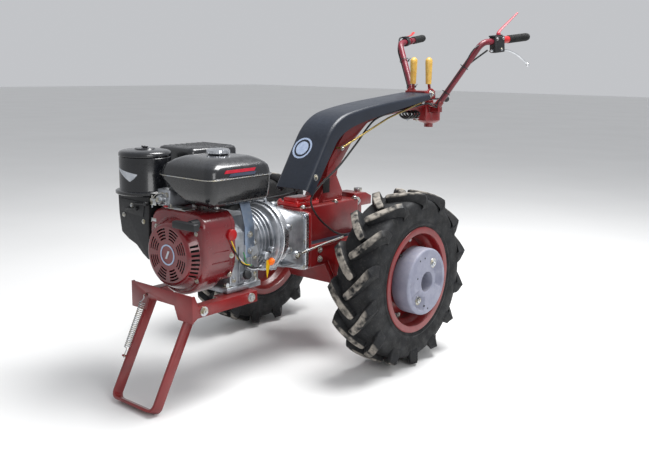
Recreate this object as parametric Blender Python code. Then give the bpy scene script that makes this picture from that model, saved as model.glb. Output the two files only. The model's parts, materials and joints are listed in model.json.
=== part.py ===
"""Two-wheel walking tractor: engine in front, handlebars behind, front parking stand.

The tractor drives towards -Y, its left side is +X and +Z is up.  Positions below are measured
from the middle of the wheel axle; the last step lifts the machine onto its tyres and centres it.
"""
from math import cos, pi, radians, sin, tan

import bmesh
import bpy
from mathutils import Matrix, Vector

GAP = 0.0003                # between pieces that touch
RUNNING_GAP = 0.0005        # between a shaft and its bore

# wheels
TYRE_RADIUS = 0.292
TYRE_WIDTH = 0.160
TRACK = 0.675               # between the middle planes of the tyres
RIM_FLANGE_RADIUS = 0.176
BEAD_RADIUS = 0.156
RIM_WIDTH = 0.146
RIM_SHEET = 0.004
DISC_OFFSET = 0.020         # rim disc outboard of the middle plane
WEIGHT_RADIUS = 0.110
WEIGHT_FACE = 0.1055        # face of the wheel weight outboard of the middle plane
WEIGHT_BORE = 0.033
AXLE_RADIUS = 0.019
HUB_RADIUS = 0.070
HUB_THICKNESS = 0.010
SPIGOT_RADIUS = 0.026

# gearbox
CASE_HALF_WIDTH = 0.100
CASE_FRONT = -0.1995
CASE_REAR = 0.120
CASE_LEDGE = 0.101
CASE_TOP = 0.220
SLEEVE_END = 0.172
SLEEVE_RADIUS = 0.048

# clutch housing and engine
CRANK_HEIGHT = 0.140
BELL_RADIUS = 0.116
BELL_FRONT = -0.330
ENGINE_REAR = -0.430
SHROUD_REAR = -0.550
SHROUD_FRONT = -0.672
SHROUD_TOP = 0.266
RECOIL_FRONT = -0.706
CYLINDER_TILT = radians(25)
CYLINDER_START = 0.095
CYLINDER_END = 0.205
HEAD_END = 0.262
VALVE_COVER_END = 0.285
CYLINDER_HALF = 0.055
TANK_BOTTOM = 0.283
TANK_TOP = 0.418
CLEANER_RADIUS = 0.080
CLEANER_TOP = 0.408
MUFFLER_TOP = 0.426

# front frame and stand
RAIL_TOP = 0.012
RAIL_HEIGHT = 0.034
RAIL_WALL = 0.005
FRAME_HALF_WIDTH = 0.137
RAIL_REAR = -0.474
PLATE_FRONT = -0.733
PLATE_TOP = 0.045
PLATE_WALL = 0.005
STAND_LEAN = radians(28)
STAND_PIVOT = Vector((0, -0.690, -0.007))
STAND_HALF_WIDTH = 0.095
STAND_BAR = 0.032
STAND_WALL = 0.008
PIVOT_RADIUS = 0.006

# column and handlebars
COLUMN_HALF_WIDTH = 0.028
COLUMN_DEPTH = 0.055
COWL_HALF_WIDTH = 0.072
COWL_WALL = 0.003
COLUMN_END = 0.600
SWIVEL_Y = COLUMN_END + 0.070
SWIVEL_RADIUS = 0.046
SWIVEL_BOLT = 0.010
BOSS_TOP = 0.508
HUB_TOP = 0.545
TUBE_RADIUS = 0.012
GRIP_RADIUS = 0.0165
GRIP_LENGTH = 0.125
CABLE_RADIUS = 0.0035

COLOURS = {
    "red paint": ((0.33, 0.012, 0.014), 0.35, 0.0),
    "black rubber": ((0.012, 0.012, 0.013), 0.85, 0.0),
    "grey paint": ((0.42, 0.43, 0.47), 0.5, 0.0),
    "cast aluminium": ((0.45, 0.46, 0.48), 0.45, 0.9),
    "black plastic": ((0.012, 0.013, 0.016), 0.35, 0.0),
    "zinc plate": ((0.55, 0.55, 0.55), 0.35, 1.0),
    "tan plastic": ((0.52, 0.36, 0.11), 0.45, 0.0),
    "chrome": ((0.75, 0.76, 0.78), 0.15, 1.0),
    "orange plastic": ((0.85, 0.16, 0.01), 0.4, 0.0),
}


def clear_scene():
    for thing in list(bpy.data.objects):
        bpy.data.objects.remove(thing, do_unlink=True)


def material(name):
    found = bpy.data.materials.get(name)
    if found:
        return found
    colour, roughness, metallic = COLOURS[name]
    made = bpy.data.materials.new(name)
    made.use_nodes = True
    shader = made.node_tree.nodes["Principled BSDF"]
    shader.inputs["Base Color"].default_value = (*colour, 1)
    shader.inputs["Roughness"].default_value = roughness
    shader.inputs["Metallic"].default_value = metallic
    return made


# ---- shapes, each returned as a closed bmesh ----

def block(low, high):
    """A box from its lowest to its highest corner."""
    shape = bmesh.new()
    bmesh.ops.create_cube(shape, size=1)
    size = Vector(high) - Vector(low)
    middle = (Vector(high) + Vector(low)) / 2
    bmesh.ops.scale(shape, vec=size, verts=shape.verts)
    bmesh.ops.translate(shape, vec=middle, verts=shape.verts)
    return shape


def prism(outline, axis, low, high):
    """A flat outline carried from low to high along an axis; the other two axes keep their order."""
    places = {"x": lambda a, b, t: (t, a, b), "y": lambda a, b, t: (a, t, b), "z": lambda a, b, t: (a, b, t)}
    rings = [[Vector(places[axis](a, b, t)) for a, b in outline] for t in (low, high)]
    return loft(rings)


def loft(rings, closed=False):
    """Quads between rings of equal length, with the first and last ring capped unless closed."""
    shape = bmesh.new()
    grid = [[shape.verts.new(point) for point in ring] for ring in rings]
    count = len(grid[0])
    pairs = list(zip(grid, grid[1:]))
    if closed:
        pairs.append((grid[-1], grid[0]))
    for near, far in pairs:
        for i in range(count):
            j = (i + 1) % count
            shape.faces.new((near[i], near[j], far[j], far[i]))
    if not closed:
        shape.faces.new(list(reversed(grid[0])))
        shape.faces.new(grid[-1])
    return shape


def turned(profile, centre, axis, segments=36):
    """A closed outline of (radius, distance along the axis) turned about an axis through centre."""
    direction = {"x": Vector((1, 0, 0)), "y": Vector((0, 1, 0)), "z": Vector((0, 0, 1))}[axis]
    side = Vector((0, 0, 1)) if axis != "z" else Vector((1, 0, 0))
    other = direction.cross(side)
    solid = min(radius for radius, along in profile) == 0
    rings = []
    for i in range(segments):
        angle = 2 * pi * i / segments
        outward = side * cos(angle) + other * sin(angle)
        rings.append([Vector(centre) + outward * radius + direction * along for radius, along in profile])
    if not solid:
        return loft(rings, closed=True)
    shape = bmesh.new()
    poles = {}
    grid = []
    for ring in rings:
        row = []
        for k, (radius, along) in enumerate(profile):
            if radius == 0:
                if k not in poles:
                    poles[k] = shape.verts.new(ring[k])
                row.append(poles[k])
            else:
                row.append(shape.verts.new(ring[k]))
        grid.append(row)
    count = len(profile)
    for i in range(segments):
        near, far = grid[i], grid[(i + 1) % segments]
        for k in range(count - 1):
            corners = []
            for vert in (near[k], near[k + 1], far[k + 1], far[k]):
                if vert not in corners:
                    corners.append(vert)
            if len(corners) > 2:
                shape.faces.new(corners)
    return shape


def bar(start, end, radius, segments=16, tip=None):
    """A round bar between two points, tapering to the tip radius if one is given."""
    return tube_along([Vector(start), Vector(end)], radius, segments, tip)


def tube_along(points, radius, segments=12, tip=None):
    """A round bar swept along points, its end faces square to it."""
    points = [Vector(point) for point in points]
    tip = radius if tip is None else tip
    first = (points[1] - points[0]).normalized()
    side = first.orthogonal().normalized()
    rings = []
    previous = first
    for i, point in enumerate(points):
        ahead = points[min(i + 1, len(points) - 1)] - points[max(i - 1, 0)]
        direction = ahead.normalized()
        side = (previous.rotation_difference(direction) @ side).normalized()
        previous = direction
        other = direction.cross(side)
        size = radius + (tip - radius) * i / (len(points) - 1)
        if 0 < i < len(points) - 1:
            before = (point - points[i - 1]).normalized()
            size /= max(before.dot(direction), 0.5)
        ring = []
        for k in range(segments):
            angle = 2 * pi * k / segments
            ring.append(point + side * cos(angle) * size + other * sin(angle) * size)
        rings.append(ring)
    return loft(rings)


def strip_along(points, across, width, thickness):
    """A flat bar swept along points in a plane square to across."""
    across = Vector(across).normalized()
    rings = []
    for i, point in enumerate(points):
        steps = []
        if i > 0:
            steps.append((points[i] - points[i - 1]).normalized())
        if i < len(points) - 1:
            steps.append((points[i + 1] - points[i]).normalized())
        along = sum(steps, Vector()).normalized()
        normal = across.cross(along)
        stretch = 1 / max(normal.dot(across.cross(steps[0])), 0.5)
        offsets = [(-1, -1), (1, -1), (1, 1), (-1, 1)]
        rings.append([point + across * a * width / 2 + normal * b * stretch * thickness / 2 for a, b in offsets])
    return loft(rings)


def rounded(points, radius, steps=4):
    """The points of a bent path with each inner corner replaced by an arc of the given radius."""
    points = [Vector(point) for point in points]
    path = [points[0]]
    for before, corner, after in zip(points, points[1:], points[2:]):
        back = (before - corner).normalized()
        on = (after - corner).normalized()
        half = back.angle(on) / 2
        length = radius / tan(half)
        centre = corner + (back + on).normalized() * radius / sin(half)
        start = corner + back * length - centre
        end = corner + on * length - centre
        turn = start.rotation_difference(end)
        for k in range(steps + 1):
            part = Matrix.Rotation(turn.angle * k / steps, 3, turn.axis)
            path.append(centre + part @ start)
    path.append(points[-1])
    return path


def smooth_path(points, spacing):
    """Evenly spaced points on a smooth curve through the given ones."""
    points = [Vector(point) for point in points]
    ends = [points[0] * 2 - points[1], *points, points[-1] * 2 - points[-2]]
    dense = []
    for a, b, c, d in zip(ends, ends[1:], ends[2:], ends[3:]):
        for k in range(20):
            t = k / 20
            dense.append(0.5 * (2 * b + (c - a) * t + (2 * a - 5 * b + 4 * c - d) * t * t
                                + (3 * b - a - 3 * c + d) * t ** 3))
    dense.append(points[-1])
    total = sum((q - p).length for p, q in zip(dense, dense[1:]))
    count = max(2, round(total / spacing))
    path = [dense[0]]
    travelled = 0
    for p, q in zip(dense, dense[1:]):
        travelled += (q - p).length
        if travelled >= total * len(path) / count - 1e-9 and len(path) < count:
            path.append(q)
    path.append(dense[-1])
    return path


def ball(centre, radius):
    shape = bmesh.new()
    bmesh.ops.create_uvsphere(shape, u_segments=14, v_segments=8, radius=radius)
    bmesh.ops.translate(shape, vec=Vector(centre), verts=shape.verts)
    return shape


def rounded_rectangle(x_range, y_range, corner, steps=3):
    """Corner points of a rectangle with rounded corners, anticlockwise."""
    (x0, x1), (y0, y1) = x_range, y_range
    corners = [(x1 - corner, y1 - corner, 0), (x0 + corner, y1 - corner, 90),
               (x0 + corner, y0 + corner, 180), (x1 - corner, y0 + corner, 270)]
    points = []
    for x, y, start in corners:
        for k in range(steps + 1):
            angle = radians(start + 90 * k / steps)
            points.append((x + corner * cos(angle), y + corner * sin(angle)))
    return points


# ---- objects ----

def helper(name, shape):
    """A hidden object that a Boolean modifier reads."""
    piece = finished(name, shape)
    piece.hide_render = True
    piece.display_type = "WIRE"
    return piece


def finished(name, shape):
    bmesh.ops.recalc_face_normals(shape, faces=shape.faces)
    mesh = bpy.data.meshes.new(name)
    shape.to_mesh(mesh)
    shape.free()
    piece = bpy.data.objects.new(name, mesh)
    bpy.context.scene.collection.objects.link(piece)
    return piece


def piece(name, finish, parent, shape, add=(), cut=(), bevel=0):
    """One named sub-part: a shape with others joined to it and cut from it."""
    made = finished(name, shape)
    made.data.materials.append(material(finish))
    made.parent = parent
    made.data.shade_smooth()
    made.data.set_sharp_from_angle(angle=radians(35))
    if bevel:
        edge = made.modifiers.new("edge", "BEVEL")
        edge.width = bevel
        edge.segments = 2
        edge.limit_method = "ANGLE"
        edge.angle_limit = radians(35)
    for label, operation, shapes in (("add", "UNION", add), ("cut", "DIFFERENCE", cut)):
        for i, operand in enumerate(shapes):
            modifier = made.modifiers.new(f"{label} {i}", "BOOLEAN")
            modifier.operation = operation
            modifier.solver = "EXACT"
            modifier.object = helper(f"{name}_{label}_{i}", operand)
            modifier.object.parent = parent
    return made


def hinge_frame(name, place, parent):
    """An empty on a joint's axis; what hangs from it keeps machine coordinates."""
    frame = bpy.data.objects.new(name, None)
    bpy.context.scene.collection.objects.link(frame)
    frame.location = place
    frame.parent = parent
    carrier = bpy.data.objects.new(name + "_parts", None)
    bpy.context.scene.collection.objects.link(carrier)
    carrier.location = -Vector(place)
    carrier.parent = frame
    return carrier


# ---- wheels ----

def mirrored(side, pairs):
    """Turned profiles of the right wheel run along -X."""
    return [(radius, side * along) for radius, along in pairs]


def wheel(side, root):
    label = "left" if side > 0 else "right"
    middle = side * TRACK / 2
    parent = hinge_frame("wheel_" + label, (middle, 0, 0), root)
    centre = (middle, 0, 0)

    half = TYRE_WIDTH / 2
    seat = BEAD_RADIUS + GAP
    inside = RIM_WIDTH / 2 - RIM_SHEET - GAP
    sidewall = (RIM_FLANGE_RADIUS + TYRE_RADIUS) / 2
    right_half = [(seat, inside), (RIM_FLANGE_RADIUS + 0.003, inside), (sidewall, half),
                  (TYRE_RADIUS - 0.024, half - 0.003), (TYRE_RADIUS - 0.006, half - 0.008),
                  (TYRE_RADIUS, half - 0.030)]
    tyre = right_half + [(radius, -along) for radius, along in reversed(right_half)]
    piece("tyre_" + label, "black rubber", parent, turned(mirrored(side, tyre), centre, "x", 48))

    edge = RIM_WIDTH / 2
    well = BEAD_RADIUS - 0.016
    outer = [(RIM_FLANGE_RADIUS, -edge), (RIM_FLANGE_RADIUS, -edge + RIM_SHEET),
             (BEAD_RADIUS, -edge + RIM_SHEET), (BEAD_RADIUS, -0.042), (well, -0.028),
             (well, 0.028), (BEAD_RADIUS, 0.042), (BEAD_RADIUS, edge - RIM_SHEET),
             (RIM_FLANGE_RADIUS, edge - RIM_SHEET), (RIM_FLANGE_RADIUS, edge)]
    inner_right = [(BEAD_RADIUS - RIM_SHEET, edge), (BEAD_RADIUS - RIM_SHEET, 0.044),
                   (well - RIM_SHEET, 0.029)]
    spigot = SPIGOT_RADIUS + GAP
    disc = [(well - RIM_SHEET, 0.002), (0.090, DISC_OFFSET + RIM_SHEET), (spigot, DISC_OFFSET + RIM_SHEET),
            (spigot, DISC_OFFSET), (0.090, DISC_OFFSET), (well - RIM_SHEET, -0.002)]
    inner_left = [(radius, -along) for radius, along in reversed(inner_right)]
    rim = outer + inner_right + disc + inner_left
    piece("rim_" + label, "red paint", parent, turned(mirrored(side, rim), centre, "x"))

    back = DISC_OFFSET + RIM_SHEET + GAP
    weight = [(WEIGHT_BORE, back), (WEIGHT_RADIUS - 0.025, back), (WEIGHT_RADIUS, back + 0.020),
              (WEIGHT_RADIUS, WEIGHT_FACE - 0.004), (WEIGHT_RADIUS - 0.004, WEIGHT_FACE),
              (WEIGHT_BORE, WEIGHT_FACE)]
    piece("wheel_weight_" + label, "grey paint", parent, turned(mirrored(side, weight), centre, "x"))

    start = SLEEVE_END - 0.055 - TRACK / 2
    face = DISC_OFFSET - GAP
    axle = [(0, start), (AXLE_RADIUS, start), (AXLE_RADIUS, face - HUB_THICKNESS - 0.030),
            (AXLE_RADIUS + 0.012, face - HUB_THICKNESS), (HUB_RADIUS, face - HUB_THICKNESS),
            (HUB_RADIUS, face), (SPIGOT_RADIUS, face), (SPIGOT_RADIUS, back + 0.010),
            (AXLE_RADIUS - 0.003, back + 0.012), (AXLE_RADIUS - 0.003, back + 0.030), (0, back + 0.030)]
    piece("axle_" + label, "zinc plate", parent, turned(mirrored(side, axle), centre, "x", 24))


# ---- gearbox ----

def gearbox(root):
    lower = [(CASE_FRONT, 0.020), (-0.108, 0.020), (-0.062, -0.058), (0.055, -0.066), (0.100, -0.030),
             (CASE_REAR, 0.040), (CASE_REAR, CASE_LEDGE), (CASE_FRONT, CASE_LEDGE)]
    upper = block((-0.066, CASE_FRONT, CASE_LEDGE - 0.01), (0.066, CASE_REAR, CASE_TOP))
    flange = block((-0.106, CASE_FRONT, 0.018), (0.106, CASE_FRONT + 0.013, 0.213))
    piece("gearbox_case", "red paint", root, prism(lower, "x", -CASE_HALF_WIDTH, CASE_HALF_WIDTH),
          add=[upper, flange])
    cover = block((-0.046, CASE_FRONT + 0.008, CASE_TOP + GAP), (0.046, -0.078, CASE_TOP + 0.014))
    ridge = block((-0.030, CASE_FRONT + 0.020, CASE_TOP + 0.010), (0.030, -0.092, CASE_TOP + 0.028))
    piece("selector_cover", "red paint", root, cover, add=[ridge])
    for side, label in ((1, "left"), (-1, "right")):
        bore = AXLE_RADIUS + RUNNING_GAP
        start = CASE_HALF_WIDTH + GAP
        sleeve = [(bore, start), (bore, SLEEVE_END), (SLEEVE_RADIUS, SLEEVE_END), (SLEEVE_RADIUS, 0.128),
                  (SLEEVE_RADIUS + 0.016, 0.120), (SLEEVE_RADIUS + 0.016, start)]
        piece("axle_sleeve_" + label, "red paint", root,
              turned(mirrored(side, sleeve), (0, 0, 0), "x", 28))


def hitch(root):
    start = CASE_REAR + GAP
    half = 0.045
    rear = 0.223
    outline = [(start, 0.048), (rear, 0.098), (rear, 0.216), (0.190, 0.231), (start, 0.231)]
    slot = block((-half - 0.01, 0.165, 0.130), (half + 0.01, rear + 0.02, 0.185))
    pin_radius = 0.009
    pin_y = 0.200
    hole = bar((0, pin_y, 0), (0, pin_y, 0.3), pin_radius + GAP)
    piece("hitch_bracket", "red paint", root, prism(outline, "x", -half, half), cut=[slot, hole])
    head = bar((0, pin_y, 0.231 + GAP), (0, pin_y, 0.242), pin_radius + 0.006)
    piece("hitch_pin", "zinc plate", root, bar((0, pin_y, 0.092), (0, pin_y, 0.236), pin_radius),
          add=[head])


# ---- clutch housing and engine ----

def square_ring(half_width, low, high, y, count=24):
    """Points round a rectangle, its corners at every sixth point from the third."""
    middle = (low + high) / 2
    half_height = (high - low) / 2
    corners = [(1, 1), (-1, 1), (-1, -1), (1, -1)]
    points = []
    for k in range(count):
        step = (k - count / 8) / (count / 4)
        side = int(step // 1)
        part = step - side
        a = corners[side % 4]
        b = corners[(side + 1) % 4]
        u = a[0] + (b[0] - a[0]) * part
        v = a[1] + (b[1] - a[1]) * part
        points.append(Vector((half_width * u, y, middle + half_height * v)))
    return points


def round_ring(radius, y, count=24, height=CRANK_HEIGHT):
    angles = [2 * pi * k / count for k in range(count)]
    return [Vector((radius * cos(angle), y, height + radius * sin(angle))) for angle in angles]


def clutch_housing(root):
    rear = CASE_FRONT - GAP
    rings = [round_ring(BELL_RADIUS, BELL_FRONT), round_ring(BELL_RADIUS, BELL_FRONT + 0.026),
             round_ring(BELL_RADIUS - 0.010, BELL_FRONT + 0.034),
             square_ring(0.098, 0.028, 0.205, rear - 0.016),
             square_ring(0.106, 0.018, 0.213, rear - 0.015), square_ring(0.106, 0.018, 0.213, rear)]
    piece("clutch_housing", "cast aluminium", root, loft(rings))
    start = ENGINE_REAR + GAP
    end = BELL_FRONT - GAP
    adapter = [(0, start), (0.094, start), (0.094, start + 0.012), (0.086, start + 0.016),
               (0.088, end - 0.022), (0.108, end - 0.014), (0.108, end), (0, end)]
    plug_place = Vector((0.088, -0.375, CRANK_HEIGHT - 0.055))
    outward = Vector((0.9, 0, -0.45)).normalized()
    seat = bar(plug_place - outward * 0.03, plug_place + outward * 0.008, 0.013)
    piece("engine_adapter", "cast aluminium", root, turned(adapter, (0, 0, CRANK_HEIGHT), "y", 28), add=[seat])
    foot = plug_place + outward * (0.008 + GAP)
    piece("oil_plug", "orange plastic", root, bar(foot, foot + outward * 0.018, 0.011, 8, 0.009))


def along_cylinder(distance, across, y):
    """A point on the slanted cylinder, at a distance from the crankshaft and across its axis."""
    x = -distance * cos(CYLINDER_TILT) + across * sin(CYLINDER_TILT)
    z = CRANK_HEIGHT + distance * sin(CYLINDER_TILT) + across * cos(CYLINDER_TILT)
    return Vector((x, y, z))


def slanted_block(start, end, half, y_range):
    y0, y1 = y_range
    rings = []
    for distance in (start, end):
        rings.append([along_cylinder(distance, -half, y0), along_cylinder(distance, half, y0),
                      along_cylinder(distance, half, y1), along_cylinder(distance, -half, y1)])
    return loft(rings)


def engine(root):
    base_low = RAIL_TOP + GAP
    base_high = base_low + 0.018
    low = along_cylinder(CYLINDER_START, -CYLINDER_HALF - 0.006, 0)
    high = along_cylinder(CYLINDER_START, CYLINDER_HALF + 0.006, 0)
    case = [(-0.095, base_low + 0.004), (low.x, low.z), (high.x, high.z), (0.062, high.z), (0.098, high.z - 0.045),
            (0.098, base_low + 0.004)]
    base = block((-0.105, SHROUD_REAR - 0.019, base_low), (0.105, ENGINE_REAR + 0.004, base_high))
    adapter_room = block((-0.12, ENGINE_REAR, base_high), (0.12, ENGINE_REAR + 0.02, 0.3))
    piece("crankcase", "cast aluminium", root, prism(case, "y", SHROUD_REAR + GAP, ENGINE_REAR),
          add=[base], cut=[adapter_room])

    y_range = (-0.525, -0.432)
    piece("cylinder", "cast aluminium", root,
          slanted_block(CYLINDER_START + GAP, CYLINDER_END, CYLINDER_HALF, y_range))
    cover = slanted_block(HEAD_END - 0.005, VALVE_COVER_END, CYLINDER_HALF - 0.012, (-0.515, -0.442))
    piece("cylinder_head", "cast aluminium", root,
          slanted_block(CYLINDER_END + GAP, HEAD_END, CYLINDER_HALF, y_range), add=[cover])

    shroud = []
    radius = 0.127
    for k in range(17):
        angle = radians(180 + 11.25 * k)
        shroud.append((radius * cos(angle) * 0.96, CRANK_HEIGHT + radius * sin(angle)))
    shroud += [(0.120, 0.222), (0.085, SHROUD_TOP - 0.004), (-0.070, SHROUD_TOP), (-0.116, SHROUD_TOP - 0.034)]
    notch = block((-0.2, SHROUD_REAR - 0.040, -0.02), (0.2, SHROUD_REAR + 0.02, 0.060))
    piece("fan_shroud", "red paint", root, prism(shroud, "y", SHROUD_FRONT, SHROUD_REAR), cut=[notch])

    rear = SHROUD_FRONT - GAP
    recoil = [(0, RECOIL_FRONT), (0.086, RECOIL_FRONT), (0.097, RECOIL_FRONT + 0.004),
              (0.107, RECOIL_FRONT + 0.015), (0.114, rear), (0, rear)]
    piece("recoil_starter", "red paint", root, turned(recoil, (0, 0, CRANK_HEIGHT), "y"))
    grip_z = 0.240
    front = SHROUD_FRONT - 0.044
    grip = bar((0.048, front, grip_z), (0.142, front, grip_z), 0.0105)
    neck = bar((0.095, front, grip_z), (0.095, SHROUD_FRONT - GAP, grip_z), 0.007)
    piece("starter_handle", "black plastic", root, grip, add=[neck])


def intake(root):
    centre = (-0.200, -0.620, 0)
    bottom = 0.293
    canister = [(0, bottom), (CLEANER_RADIUS + 0.012, bottom), (CLEANER_RADIUS + 0.012, bottom + 0.010),
                (CLEANER_RADIUS - 0.001, bottom + 0.014), (CLEANER_RADIUS - 0.001, CLEANER_TOP), (0, CLEANER_TOP)]
    piece("air_cleaner", "black plastic", root, turned(canister, centre, "z", 28))
    seat = CLEANER_TOP + GAP
    lid = [(0, seat), (CLEANER_RADIUS, seat), (CLEANER_RADIUS, seat + 0.008), (CLEANER_RADIUS - 0.010, seat + 0.017),
           (0.030, seat + 0.020), (0.026, seat + 0.028), (0, seat + 0.028)]
    piece("air_cleaner_lid", "black plastic", root, turned(lid, centre, "z", 28))
    top = bottom - GAP
    outline = [(-0.275, top), (-0.262, 0.165), (-0.190, 0.136), (-0.136, 0.098), (-0.127, 0.098), (-0.127, top)]
    piece("intake_cover", "black plastic", root, prism(outline, "y", -0.672, -0.525 - GAP))
    body = block((-0.107, -0.650, SHROUD_TOP + GAP), (-0.052, -0.560, 0.318))
    horn = bar((-0.082, -0.668, 0.288), (-0.082, -0.645, 0.288), 0.014)
    piece("carburettor", "cast aluminium", root, body, add=[horn])


def muffler(root):
    low = 0.312
    outline = rounded_rectangle((-0.290, -0.118), (-0.505, -0.300), 0.018)
    rings = [[Vector((x, y, z)) for x, y in outline] for z in (low, MUFFLER_TOP)]
    box = loft(rings)
    port = along_cylinder(0.235, 0.010, 0)
    outlet = (port.x, -0.400, port.z)
    pipe = tube_along(rounded([(port.x, -0.432 + GAP, port.z), outlet, (port.x, -0.400, low + 0.01)], 0.016), 0.013)
    piece("muffler", "black plastic", root, box, add=[pipe])


def fuel_tank(root):
    columns = [  # height, x range, y range, corner radius
        (TANK_BOTTOM, (0.020, 0.120), (-0.640, -0.412), 0.020),
        (TANK_BOTTOM + 0.016, (-0.010, 0.130), (-0.650, -0.402), 0.025),
        (0.352, (-0.098, 0.135), (-0.655, -0.396), 0.030),
        (0.3605, (-0.100, 0.135), (-0.655, -0.396), 0.030),
        (0.3610, (-0.105, 0.140), (-0.660, -0.391), 0.034),
        (0.3655, (-0.105, 0.140), (-0.660, -0.391), 0.034),
        (0.3660, (-0.100, 0.135), (-0.655, -0.396), 0.030),
        (TANK_TOP - 0.024, (-0.095, 0.130), (-0.649, -0.401), 0.032),
        (TANK_TOP - 0.008, (-0.082, 0.115), (-0.630, -0.415), 0.034),
        (TANK_TOP, (-0.058, 0.092), (-0.595, -0.440), 0.034),
    ]
    rings = []
    for height, x_range, y_range, corner in columns:
        rings.append([Vector((x, y, height)) for x, y in rounded_rectangle(x_range, y_range, corner)])
    piece("fuel_tank", "black plastic", root, loft(rings))
    seat = TANK_TOP + GAP
    cap = [(0, seat), (0.031, seat), (0.037, seat + 0.004), (0.037, seat + 0.014), (0.033, seat + 0.018),
           (0, seat + 0.018)]
    piece("fuel_cap", "chrome", root, turned(cap, (0.004, -0.505, 0), "z", 24))
    wall = 0.004
    side = 0.098 + GAP + wall / 2
    top = TANK_BOTTOM - GAP - wall / 2
    path = rounded([(side, -0.470, 0.110), (side, -0.470, 0.205), (0.078, -0.470, top), (0.024, -0.470, top)], 0.014)
    piece("tank_bracket", "zinc plate", root, strip_along(path, (0, 1, 0), 0.040, wall))


# ---- front frame and stand ----

def front_frame(root):
    rear = PLATE_FRONT + PLATE_WALL
    low = RAIL_TOP - RAIL_HEIGHT
    half = FRAME_HALF_WIDTH
    plate = block((-half, PLATE_FRONT, -0.034), (half, rear, PLATE_TOP))
    opening = [(-0.074, -0.2), (0.074, -0.2), (0.074, -0.034), (0.058, 0.005), (-0.058, 0.005), (-0.074, -0.034)]
    add = []
    for side in (1, -1):
        wing = [(PLATE_FRONT, -0.034), (PLATE_FRONT + 0.020, low), (RAIL_REAR, low), (RAIL_REAR, RAIL_TOP),
                (PLATE_FRONT + 0.024, RAIL_TOP), (PLATE_FRONT + 0.010, PLATE_TOP), (PLATE_FRONT, PLATE_TOP)]
        x0, x1 = sorted((side * half, side * (half - RAIL_WALL)))
        add.append(prism(wing, "x", x0, x1))
        inner = STAND_HALF_WIDTH + 0.010
        x0, x1 = sorted((side * inner, side * (half - 0.001)))
        add.append(block((x0, PLATE_FRONT + 0.002, RAIL_TOP - RAIL_WALL), (x1, RAIL_REAR, RAIL_TOP)))
        x0, x1 = sorted((side * (inner - 0.025), side * (inner + 0.002)))
        add.append(block((x0, -0.600, RAIL_TOP - RAIL_WALL), (x1, RAIL_REAR, RAIL_TOP)))
    hook_hole = bar((-0.064, PLATE_FRONT - 0.01, 0.016), (-0.064, rear + 0.01, 0.016), 0.0045, 10)
    piece("front_frame", "red paint", root, plate, add=add,
          cut=[prism(opening, "y", PLATE_FRONT - 0.01, rear + 0.01), hook_hole])
    wall = half - RAIL_WALL - GAP
    piece("stand_pivot", "zinc plate", root,
          bar(STAND_PIVOT - Vector((wall, 0, 0)), STAND_PIVOT + Vector((wall, 0, 0)), PIVOT_RADIUS, 14))


def stand(root):
    parent = hinge_frame("stand", STAND_PIVOT, root)
    down = Vector((0, -sin(STAND_LEAN), -cos(STAND_LEAN)))
    across = Vector((0, cos(STAND_LEAN), -sin(STAND_LEAN)))
    height = STAND_PIVOT.z + TYRE_RADIUS
    reach = (height - STAND_BAR / 2 * sin(STAND_LEAN)) / cos(STAND_LEAN) - STAND_WALL / 2
    middle = STAND_HALF_WIDTH - STAND_WALL / 2
    top = STAND_PIVOT
    corners = [top + Vector((middle, 0, 0)), top + Vector((middle, 0, 0)) + down * reach,
               top - Vector((middle, 0, 0)) + down * reach, top - Vector((middle, 0, 0))]
    bend = 0.020
    legs = strip_along(rounded(corners, bend, 5), across, STAND_BAR, STAND_WALL)
    add = []
    cut = []
    for side in (1, -1):
        inner = top + Vector((side * (middle - STAND_WALL / 2), 0, 0))
        outer = top + Vector((side * (middle + STAND_WALL / 2), 0, 0))
        add.append(bar(inner, outer, STAND_BAR / 2, 20))
        out = Vector((side * 0.01, 0, 0))
        cut.append(bar(inner - out, outer + out, PIVOT_RADIUS + RUNNING_GAP, 16))
    tab_root = top + down * 0.190 - Vector((middle, 0, 0)) - across * (STAND_BAR / 2 - 0.003)
    tab = bar(tab_root, tab_root - across * 0.019, 0.003, 10)
    add.append(tab)
    piece("stand_leg", "red paint", parent, legs, add=add, cut=cut)

    hook = Vector((-0.064, PLATE_FRONT - 0.010, 0.010))
    end = tab_root - across * 0.0175 + Vector((0.0045, 0, 0))
    line = (end - hook).normalized()
    coil = tube_along([hook + line * 0.016, end - line * 0.026], 0.0095, 12)
    upper = tube_along(smooth_path([hook + line * 0.018, hook + line * 0.004, hook + Vector((0, 0.0, 0.006)),
                                    Vector((-0.064, PLATE_FRONT - 0.002, 0.0165)),
                                    Vector((-0.064, PLATE_FRONT + 0.008, 0.0155))], 0.006), 0.0014, 8)
    lower = tube_along([end - line * 0.030, end - line * 0.0005], 0.0014, 8)
    piece("stand_spring", "zinc plate", root, coil, add=[upper, lower])


# ---- column ----

COWL_STATIONS = [  # y and z of the outer top, depth of the side flanges
    (-0.176, 0.280, 0.040), (-0.120, 0.368, 0.046), (-0.086, 0.421, 0.050), (-0.055, 0.465, 0.052),
    (-0.018, 0.498, 0.055), (0.035, 0.523, 0.055), (0.120, 0.540, 0.050), (0.250, 0.557, 0.044),
    (COLUMN_END - 0.160, 0.575, 0.032), (COLUMN_END - 0.040, 0.586, 0.024)]


def cowl_height(y, inset):
    """Height of the cowl's top behind its bend, less an inset."""
    for (y0, z0, _), (y1, z1, _) in zip(COWL_STATIONS[6:], COWL_STATIONS[7:]):
        if y <= y1:
            break
    return z0 + (z1 - z0) * (y - y0) / (y1 - y0) - inset


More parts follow.
